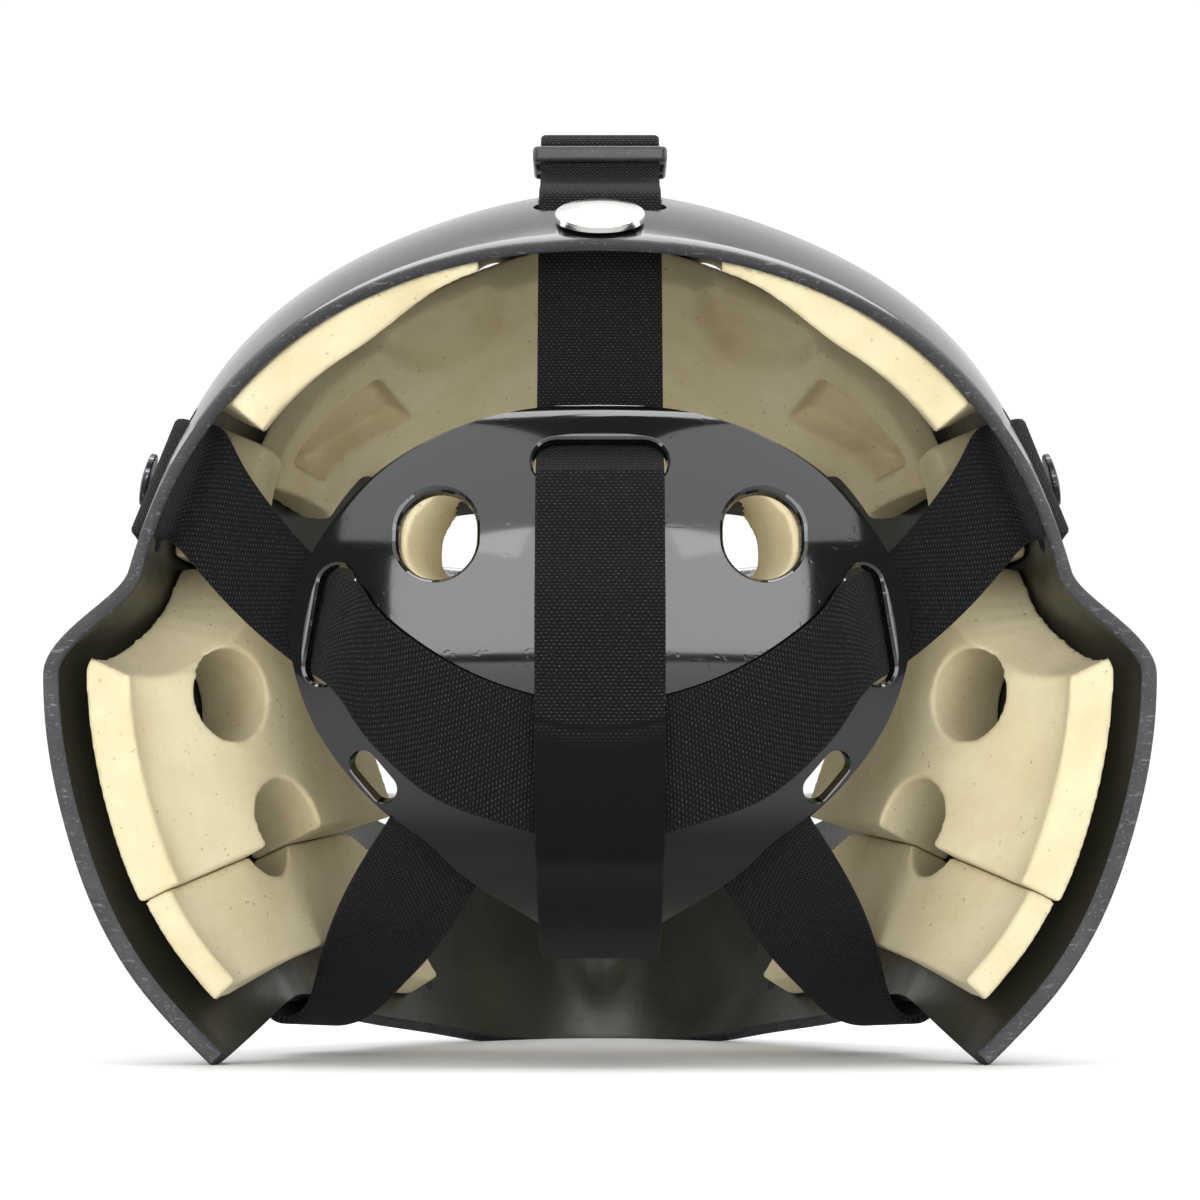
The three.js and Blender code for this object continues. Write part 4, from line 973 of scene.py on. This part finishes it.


# Knit: rows of small loops, each row set half a loop over from the last, uneven as real yarn is. Their crests
# are painted lighter as a highlight, and the gaps between them painted dark as shade.
knit, given, result = effect("knit_loops", {"Across": 1.3, "Along": 0.86, "Uneven": 0.35},
                             ["Loops", "Height"])
layout = place_node(knit, "ShaderNodeUVMap", uv_map="knit").outputs["UV"]
drift = place_node(knit, "ShaderNodeTexNoise", {"Vector": layout, "Scale": 0.55, "Detail": 3.0})
shaken = place_node(knit, "ShaderNodeVectorMath", {0: drift.outputs["Color"], 1: (0.5, 0.5, 0.5)},
                    operation="SUBTRACT")
amount = place_node(knit, "ShaderNodeVectorMath", {0: shaken.outputs[0], "Scale": given["Uneven"]},
                    operation="SCALE")
moved = place_node(knit, "ShaderNodeVectorMath", {0: layout, 1: amount.outputs[0]}, operation="ADD")
parts = place_node(knit, "ShaderNodeSeparateXYZ", {"Vector": moved.outputs[0]}).outputs
line = calc(knit, "DIVIDE", parts["Y"], given["Along"])
odd = calc(knit, "MODULO", calc(knit, "FLOOR", line), 2.0)
loop = calc(knit, "ADD", calc(knit, "DIVIDE", parts["X"], given["Across"]), calc(knit, "MULTIPLY", odd, 0.5))
bulges = []
for place in (line, loop):
    middle = calc(knit, "ABSOLUTE", calc(knit, "SUBTRACT", calc(knit, "FRACT", place), 0.5))
    bulges.append(calc(knit, "SUBTRACT", 1.0, calc(knit, "MULTIPLY", middle, 2.0)))
round_loop = calc(knit, "MULTIPLY", bulges[0], calc(knit, "POWER", bulges[1], 0.6))
fibre = noise(knit, layout, 2.6, 4.0, 0.7)
lit = calc(knit, "ADD", calc(knit, "MULTIPLY", fibre, 1.6), -0.2)
# Painted highlight: the loop crests, flecked by the fibre noise, lighten the strap's colour.
knit.links.new(calc(knit, "MULTIPLY", round_loop, lit), result["Loops"])
knit.links.new(calc(knit, "ADD", round_loop, calc(knit, "MULTIPLY", fibre, 0.5)), result["Height"])

SEAM_HEIGHT = 0.0815    # metres over the floor, in the middle of the strap


def below_seam(tree):
    """1 above the seam across the middle strap, 0 in its groove and nearly 0 below it.
    The side straps pass under there, so the seam curves up to the sides."""
    spot = place_node(tree, "ShaderNodeSeparateXYZ", {"Vector": object_place(tree)}).outputs
    curve = calc(tree, "MULTIPLY", calc(tree, "POWER", calc(tree, "ABSOLUTE", spot["X"]), 2.0), 9.0)
    above = calc(tree, "SUBTRACT", spot["Z"], calc(tree, "ADD", SEAM_HEIGHT, curve))
    groove = levels(tree, calc(tree, "ABSOLUTE", above), 0.0002, 0.0009)
    return calc(tree, "MULTIPLY", levels(tree, above, -0.006, -0.001, 0.12, 1.0), groove)


# The middle strap is sewn where the side straps pass under it, and is flatter and smoother below. Its painted
# loop highlights fade below the seam and vanish in the seam's groove, which is left painted dark as shade.
elastics = []
for name, sewn in (("knitted_elastic", False), ("sewn_elastic", True)):
    elastic, tree, shader = bench(name, (0.02, 0.02, 0.021), 0.9, sheen_weight=0.04, sheen_roughness=0.4,
                                  specular_ior_level=0.1)
    elastics.append(elastic)
    loops = use_effect(tree, knit, Across=1.3, Along=0.86, Uneven=0.5)
    shown, height = loops["Loops"], loops["Height"]
    if sewn:
        plain = below_seam(tree)
        shown, height = calc(tree, "MULTIPLY", shown, plain), calc(tree, "MULTIPLY", height, plain)
    # Painted highlight and shade: the loop crests are coloured lighter and the gaps between them darker.
    coloured(tree, shader, shown,
             (0.05, (0.004, 0.004, 0.0045)), (0.42, (0.013, 0.013, 0.014)), (0.85, (0.15, 0.15, 0.16)))
    embossed(tree, shader, height, 0.7, 0.0004)
knitted_elastic, sewn_elastic = elastics

strap_piece("centre_elastic", "centre_strap", centre_stops(), 420, sewn_elastic)
for side, hand in HANDS:
    strap_piece(f"side_elastic_{hand}", f"side_strap_{hand}", side_stops(), 200, knitted_elastic, side,
                drape=lambda t: (t - DRAPE_FROM) / DRAPE_OVER)
    strap_piece(f"lower_elastic_{hand}", f"lower_strap_{hand}", lower_stops(), 160, knitted_elastic, side)

# Slider, cap and strap screws
# The elastic folds back through a ladder slider on the crown. A bare polished cap covers its
# rivet at the rim, and a black screw holds each of the other straps to the shell.
SLIDER = dict(half=17.9, back=53.0, front=78.4, bottom=237.2, thick=4.2, corner=2.2)
SLIDER_SLOT = dict(length=33.4, width=6.0)
SLOT_OFFSET = 6.6
CAP = dict(radius=11.5, height=3.5)
CAP_SEAT = dict(angle=90.0, y=11.5, lift=GAP)
SCREW = dict(radius=7.0, height=2.5)
SCREW_CROSS = dict(length=7.0, width=1.54)
OVER_STRAP = ON_SHELL + STRAP_WALL / 2 + GAP
SCREW_SEATS = dict(side=dict(angle=SIDE_STRAP_ANGLE, y=47.0, lift=OVER_STRAP + 1.6),
                   lower=dict(angle=-36.0, y=88.5, lift=OVER_STRAP + 2.4))


def rounded_box_outline(half_x, half_y, radius, steps=10):
    """Outline of a rectangle with round corners, and the direction outwards at each point."""
    turn = np.linspace(0, math.pi / 2, steps)
    corner = np.stack([np.cos(turn), np.sin(turn)], -1)
    first = corner[::-1] * [1, -1]
    outward = np.vstack([first, corner, corner[::-1] * [-1, 1], corner * [-1, -1]])
    middle = np.repeat([[1, -1], [1, 1], [-1, 1], [-1, -1]], steps, 0) * [half_x - radius, half_y - radius]
    return middle + outward * radius, outward


def flared(outline, outward, profile):
    """Rings of a flat outline, set out and raised by a profile of outset and height."""
    return np.array([np.column_stack([outline + outward * outset, np.full(len(outline), height)])
                     for outset, height in profile])


def set_on(points, centre, normal, across):
    """Points about a local axis, turned so that the axis is the normal and x lies across."""
    across = unit(across - np.dot(across, normal) * normal)
    return centre + points @ np.array([across, np.cross(normal, across), normal])


def domed_profile(radius, height, rim=0.45, edge=0.5):
    """Radius and height of a head: straight sides, a rounded shoulder and a low dome."""
    turn = np.linspace(0, math.pi / 2, 7)
    flat, side_height = radius - edge, height * rim
    shoulder = [(flat + edge * math.cos(a), side_height + edge * math.sin(a)) for a in turn]
    dome = [(share * flat, side_height + edge + (height - side_height - edge) * (1 - share * share))
            for share in np.linspace(0.97, 0.03, 12)]
    return [(radius * 0.04, 0.0), (radius - 0.3, 0.0), (radius, 0.3)] + shoulder + dome


def skin_seat(angle, y, lift):
    """A seat over the shell: its centre, the skin's normal and a direction round the shell."""
    tilt = float(tilt_at(angle, y))
    across = skin_point(angle + 1, tilt) - skin_point(angle - 1, tilt)
    return under_skin(angle, tilt, -lift), skin_normal(angle, tilt), across


def round_head(name, node, size, seat, material, slot, side=1, turns=48, arm=None):
    """A domed head turned about its seat's axis; arm is the cutter of one arm of a cross recess."""
    turn = np.linspace(0, 2 * math.pi, turns, endpoint=False)
    circle = np.stack([np.cos(turn), np.sin(turn)], -1)
    rings = set_on(flared(0 * circle, circle, domed_profile(**size)), *seat)
    head = new_piece(name, rings * [side, 1, 1], loft_faces(len(rings), turns), [material], slot)
    outward_mesh(head.data)
    if arm is not None:
        cross = [arm, arm[..., [1, 0, 2]] * [-1, 1, 1]]
        cut_through(head, [set_on(cutter, *seat) * [side, 1, 1] for cutter in cross])
    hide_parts(node)


# Dark grey nylon with a fine moulded grain, worn a little lighter.
slider_nylon, tree, shader = bench("slider_nylon", (0.035, 0.035, 0.039), 0.42)
worn = use_effect(tree, scratches, Scale=700.0, Amount=0.8)["Mask"]
coloured(tree, shader, worn, (0.0, (0.03, 0.03, 0.034)), (1.0, (0.09, 0.09, 0.1)))
handled(tree, shader, 90.0, 0.32, 0.5)
embossed(tree, shader, noise(tree, object_place(tree), 3200.0), 0.2, 0.0001)

# Bright nickel plate, with hairlines and a haze of handling.
nickel, tree, shader = bench("nickel", (0.83, 0.81, 0.78), 0.16, metallic=1.0)
rubbed = use_effect(tree, scratches, Scale=900.0, Amount=0.7)["Mask"]
coloured(tree, shader, rubbed, (0.0, (0.83, 0.81, 0.78)), (1.0, (0.62, 0.6, 0.58)))
handled(tree, shader, 110.0, 0.1, 0.26)
embossed(tree, shader, rubbed, 0.08, 0.0002)

# Black oxide steel, rubbed brighter where the driver has been.
black_steel, tree, shader = bench("black_steel", (0.05, 0.05, 0.055), 0.32, metallic=0.85)
rubbed = use_effect(tree, scratches, Scale=800.0, Amount=1.0)["Mask"]
coloured(tree, shader, rubbed, (0.0, (0.035, 0.035, 0.04)), (1.0, (0.3, 0.3, 0.32)))
handled(tree, shader, 140.0, 0.22, 0.42)

thick = SLIDER["thick"]
slider_place = [0, (SLIDER["back"] + SLIDER["front"]) / 2, SLIDER["bottom"]]
half_length = (SLIDER["front"] - SLIDER["back"]) / 2
outline, outward = rounded_box_outline(SLIDER["half"], half_length, SLIDER["corner"])
lower_edge = [(-1.1, 0.0), (-0.45, 0.15), (-0.12, 0.5), (0.0, 1.1)]
slider_profile = lower_edge + [(inset, thick - up) for inset, up in lower_edge[::-1]]
slider_rings = flared(outline, outward, slider_profile) + slider_place
slider = new_piece("ladder_slider", slider_rings, loft_faces(len(slider_rings), len(outline)),
                   [slider_nylon], "plastic")
outward_mesh(slider.data)
lower_flare = [(1.4, -1.2), (0.5, 0.0), (0.15, 0.35), (0.0, 0.9)]
slot_profile = lower_flare + [(outset, thick - up) for outset, up in lower_flare[::-1]]
slot_cutter = flared(*slot_outline(**SLIDER_SLOT, steps=10), slot_profile) + slider_place
cut_through(slider, [slot_cutter + [0, end * SLOT_OFFSET, 0] for end in (-1, 1)])
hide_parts("strap_slider")
round_head("rivet_cap", "strap_cap", CAP, skin_seat(**CAP_SEAT), nickel, "plastic")
top = SCREW["height"]
screw_arm = flared(*slot_outline(**SCREW_CROSS, steps=6),
                   [(0.0, top + 1), (0.0, top - 0.5), (-0.25, top * 0.35)])
for side, hand in HANDS:
    for strap, seat in SCREW_SEATS.items():
        round_head(f"{strap}_screw_head_{hand}", f"{strap}_strap_screw_{hand}", SCREW, skin_seat(**seat),
                   black_steel, "plastic", side, arm=screw_arm)

# Cage and clips
# A ring of round wire lies on the shell round the face opening, with level and upright wires
# welded to it. Six bent clips hook over the ring, each held to the shell by a screw.
WIRE_RADIUS = 2.0
CAGE = dict(ring_grow=5.0, ring_lift=0.55, level=[72, 96.5, 120, 141], upright=[0, 28], bow=8.0,
            weld_depth=1.5, lip_reach=4.0, lip_rise=9.0, bead=2.7)
CLIP = dict(length=15.0, width=9.0, wall=1.6, play=0.7, foot=-WIRE_RADIUS - 0.1, bend=1.3, rise=0.5,
            tail=0.4, edge=0.45, screw_at=10.0)
CLIP_ROWS = dict(crown=1.3, cheek=6.75, chin=10.6)
CLIP_SCREW = dict(radius=4.0, height=2.4)
CLIP_CROSS = dict(length=4.2, width=0.9)


def ring_point(row):
    """Middle of the ring's wire by row number, and the skin's normal there."""
    flat = face_edge(np.asarray(row, float))
    angle = np.degrees(np.arctan2(flat[..., 1], flat[..., 0]))
    tilt = np.hypot(flat[..., 0], flat[..., 1]) + CAGE["ring_grow"]
    return under_skin(angle, tilt, -(WIRE_RADIUS + CAGE["ring_lift"])), skin_normal(angle, tilt + 4)


def wire(path, reference, closed=False, turns=12):
    """Round wire along a path, as loops; the reference direction keeps its section from turning."""
    ahead = np.roll(path, -1, 0) if closed else np.vstack([path[1:], 2 * path[-1] - path[-2]])
    behind = np.roll(path, 1, 0) if closed else np.vstack([2 * path[0] - path[1], path[:-1]])
    run = unit(ahead - behind)
    side = unit(np.cross(run, reference))
    up = np.cross(side, run)
    turn = np.linspace(0, 2 * math.pi, turns, endpoint=False)[None, :, None]
    return path[:, None] + WIRE_RADIUS * (np.cos(turn) * side[:, None] + np.sin(turn) * up[:, None])


def through(stops, count):
    """Smooth line through a few stops."""
    stops = np.asarray(stops, float)
    reach = np.concatenate([[0], np.cumsum(np.linalg.norm(np.diff(stops, axis=0), axis=1))])
    when = np.linspace(0, reach[-1], count)
    return np.stack([natural_curve(reach, stops[:, k], when) for k in range(3)], -1)


ring_right, ring_normal = ring_point(np.linspace(0, len(OPENING_X) - 1, 181))
widest = int(np.argmax(ring_right[:, 0]))


def ring_at_height(z):
    """Point of the ring's right half at a height."""
    rising = ring_right[::-1]
    return np.array([np.interp(z, rising[:, 2], rising[:, k]) for k in range(3)])


def cage_depth(x, z):
    """How far forward the cage stands at a place seen from the front."""
    end, top, bottom = ring_at_height(z), ring_right[0], ring_right[-1]
    middle = bottom[1] + (z - bottom[2]) / (top[2] - bottom[2]) * (top[1] - bottom[1]) + CAGE["bow"]
    return middle + (end[1] - middle) * (x / end[0]) ** 2


def upright_stops(x):
    """Stops of an upright wire, from the ring's top over the level wires and round the chin lip."""
    upper, lower = ring_right[:widest + 1], ring_right[widest:][::-1]
    top = [np.interp(x, upper[:, 0], upper[:, k]) for k in (1, 2)]
    bottom = [np.interp(x, lower[:, 0], lower[:, k]) for k in (1, 2)]
    between = [(x, cage_depth(x, z) - CAGE["weld_depth"], z) for z in CAGE["level"][::-1]]
    lip = (x, bottom[0] + CAGE["lip_reach"], bottom[1] + CAGE["lip_rise"])
    return [(x, *top), *between, lip, (x, *bottom)]


def weld_bead(centre):
    """Small round bead where two wires cross."""
    latitude = np.linspace(-math.pi / 2 + 0.12, math.pi / 2 - 0.12, 9)[:, None]
    turn = np.linspace(0, 2 * math.pi, 16, endpoint=False)[None, :]
    x, y = np.cos(latitude) * np.cos(turn), np.cos(latitude) * np.sin(turn)
    return np.asarray(centre) + CAGE["bead"] * np.stack([x, y, np.sin(latitude) + 0 * turn], -1)


# Nickel-plated wire, with a haze and hairlines.
cage_wire, tree, shader = bench("cage_wire", (0.62, 0.62, 0.63), 0.24, metallic=1.0)
rubbed = use_effect(tree, scratches, Scale=650.0, Amount=0.9)["Mask"]
coloured(tree, shader, rubbed, (0.0, (0.6, 0.6, 0.61)), (1.0, (0.36, 0.36, 0.37)))
handled(tree, shader, 70.0, 0.16, 0.36)
embossed(tree, shader, rubbed, 0.1, 0.0002)

whole_ring = np.concatenate([ring_right, ring_right[-2:0:-1] * [-1, 1, 1]])
whole_normal = np.concatenate([ring_normal, ring_normal[-2:0:-1] * [-1, 1, 1]])
open_wires = []
for z in CAGE["level"]:
    end = ring_at_height(z)[0]
    x = np.linspace(-end, end, 90)
    open_wires.append(wire(np.stack([x, cage_depth(x, z), 0 * x + z], -1), np.array([0.0, 0, 1])))
uprights = [side * x for x in CAGE["upright"] for side in ((1, -1) if x else (1,))]
for x in uprights:
    line = through(upright_stops(abs(x)), 110) * [1 if x >= 0 else -1, 1, 1]
    open_wires.append(wire(line, np.array([1.0, 0, 0])))
for x in uprights:
    for z in CAGE["level"]:
        open_wires.append(weld_bead((x, cage_depth(abs(x), z) - CAGE["weld_depth"] / 2, z)))
ring = wire(whole_ring, whole_normal, closed=True)
cage_points = [ring.reshape(-1, 3)]
cage_faces = [loop_faces(len(ring), ring.shape[1], True)]
for loops in open_wires:
    done = sum(len(points) for points in cage_points)
    cage_faces.append(done + loft_faces(len(loops), loops.shape[1]))
    cage_points.append(loops.reshape(-1, 3))
cage = new_piece("wire_cage", np.vstack(cage_points), np.vstack(cage_faces), [cage_wire], "steel", shade=60)
outward_mesh(cage.data)
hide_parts("cage")


def clip_frame(row):
    """Middle of the ring's wire at a clip, and directions from the opening, off the shell and along."""
    centre, normal = ring_point(row)
    along = unit(ring_point(row + 0.1)[0] - ring_point(row - 0.1)[0])
    normal = unit(normal - np.dot(normal, along) * along)
    return centre, -np.cross(normal, along), normal, along


def clip_line():
    """Middle line of a clip's strip: the foot, the bend up, the curl round the wire and a short tail."""
    middle = WIRE_RADIUS + CLIP["play"] + CLIP["wall"] / 2
    level = CLIP["foot"] + CLIP["wall"] / 2
    bend = np.linspace(math.pi / 2, math.pi, 9)[:, None]
    turn = np.linspace(0, math.pi, 26)[:, None]
    corner = np.array([middle + CLIP["bend"], level + CLIP["bend"]])
    foot = np.column_stack([np.linspace(CLIP["length"], corner[0], 12), np.full(12, level)])
    bent = corner + CLIP["bend"] * np.hstack([np.cos(bend), -np.sin(bend)])
    curl = middle * np.hstack([np.cos(turn), np.sin(turn)]) + [0, CLIP["rise"]]
    return np.vstack([foot, bent[1:], curl, [(-middle, 0.2), (-middle, -CLIP["tail"])]])


def clip_piece(name, node, row, side):
    """A bent strip: its foot lies on the shell and its end curls over the ring."""
    centre, away, normal, along = clip_frame(row)
    line = clip_line()
    run = unit(np.gradient(line, axis=0))
    off = np.column_stack([-run[:, 1], run[:, 0]])
    section, _ = rounded_box_outline(CLIP["width"] / 2, CLIP["wall"] / 2, CLIP["edge"], 4)
    flat = line[:, None] + off[:, None] * section[None, :, 1:]
    points = centre + flat[..., :1] * away + flat[..., 1:] * normal + section[None, :, :1] * along
    clip = new_piece(name, points * [side, 1, 1], loft_faces(len(points), len(section)), [cage_wire], "steel")
    outward_mesh(clip.data)
    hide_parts(node)


top = CLIP_SCREW["height"]
clip_arm = flared(*slot_outline(**CLIP_CROSS, steps=5), [(0, top + 1.2), (0, top - 1.4)])
for place, row in CLIP_ROWS.items():
    centre, away, normal, along = clip_frame(row)
    foot_top = CLIP["foot"] + CLIP["wall"] + GAP
    seat = (centre + CLIP["screw_at"] * away + foot_top * normal, normal, along)
    for side, hand in HANDS:
        clip_piece(f"ring_clip_{place}_{hand}", f"cage_clip_{place}_{hand}", row, side)
        round_head(f"clip_screw_{place}_{hand}", f"cage_screw_{place}_{hand}", CLIP_SCREW, seat, black_steel,
                   "steel", side, turns=36, arm=clip_arm)
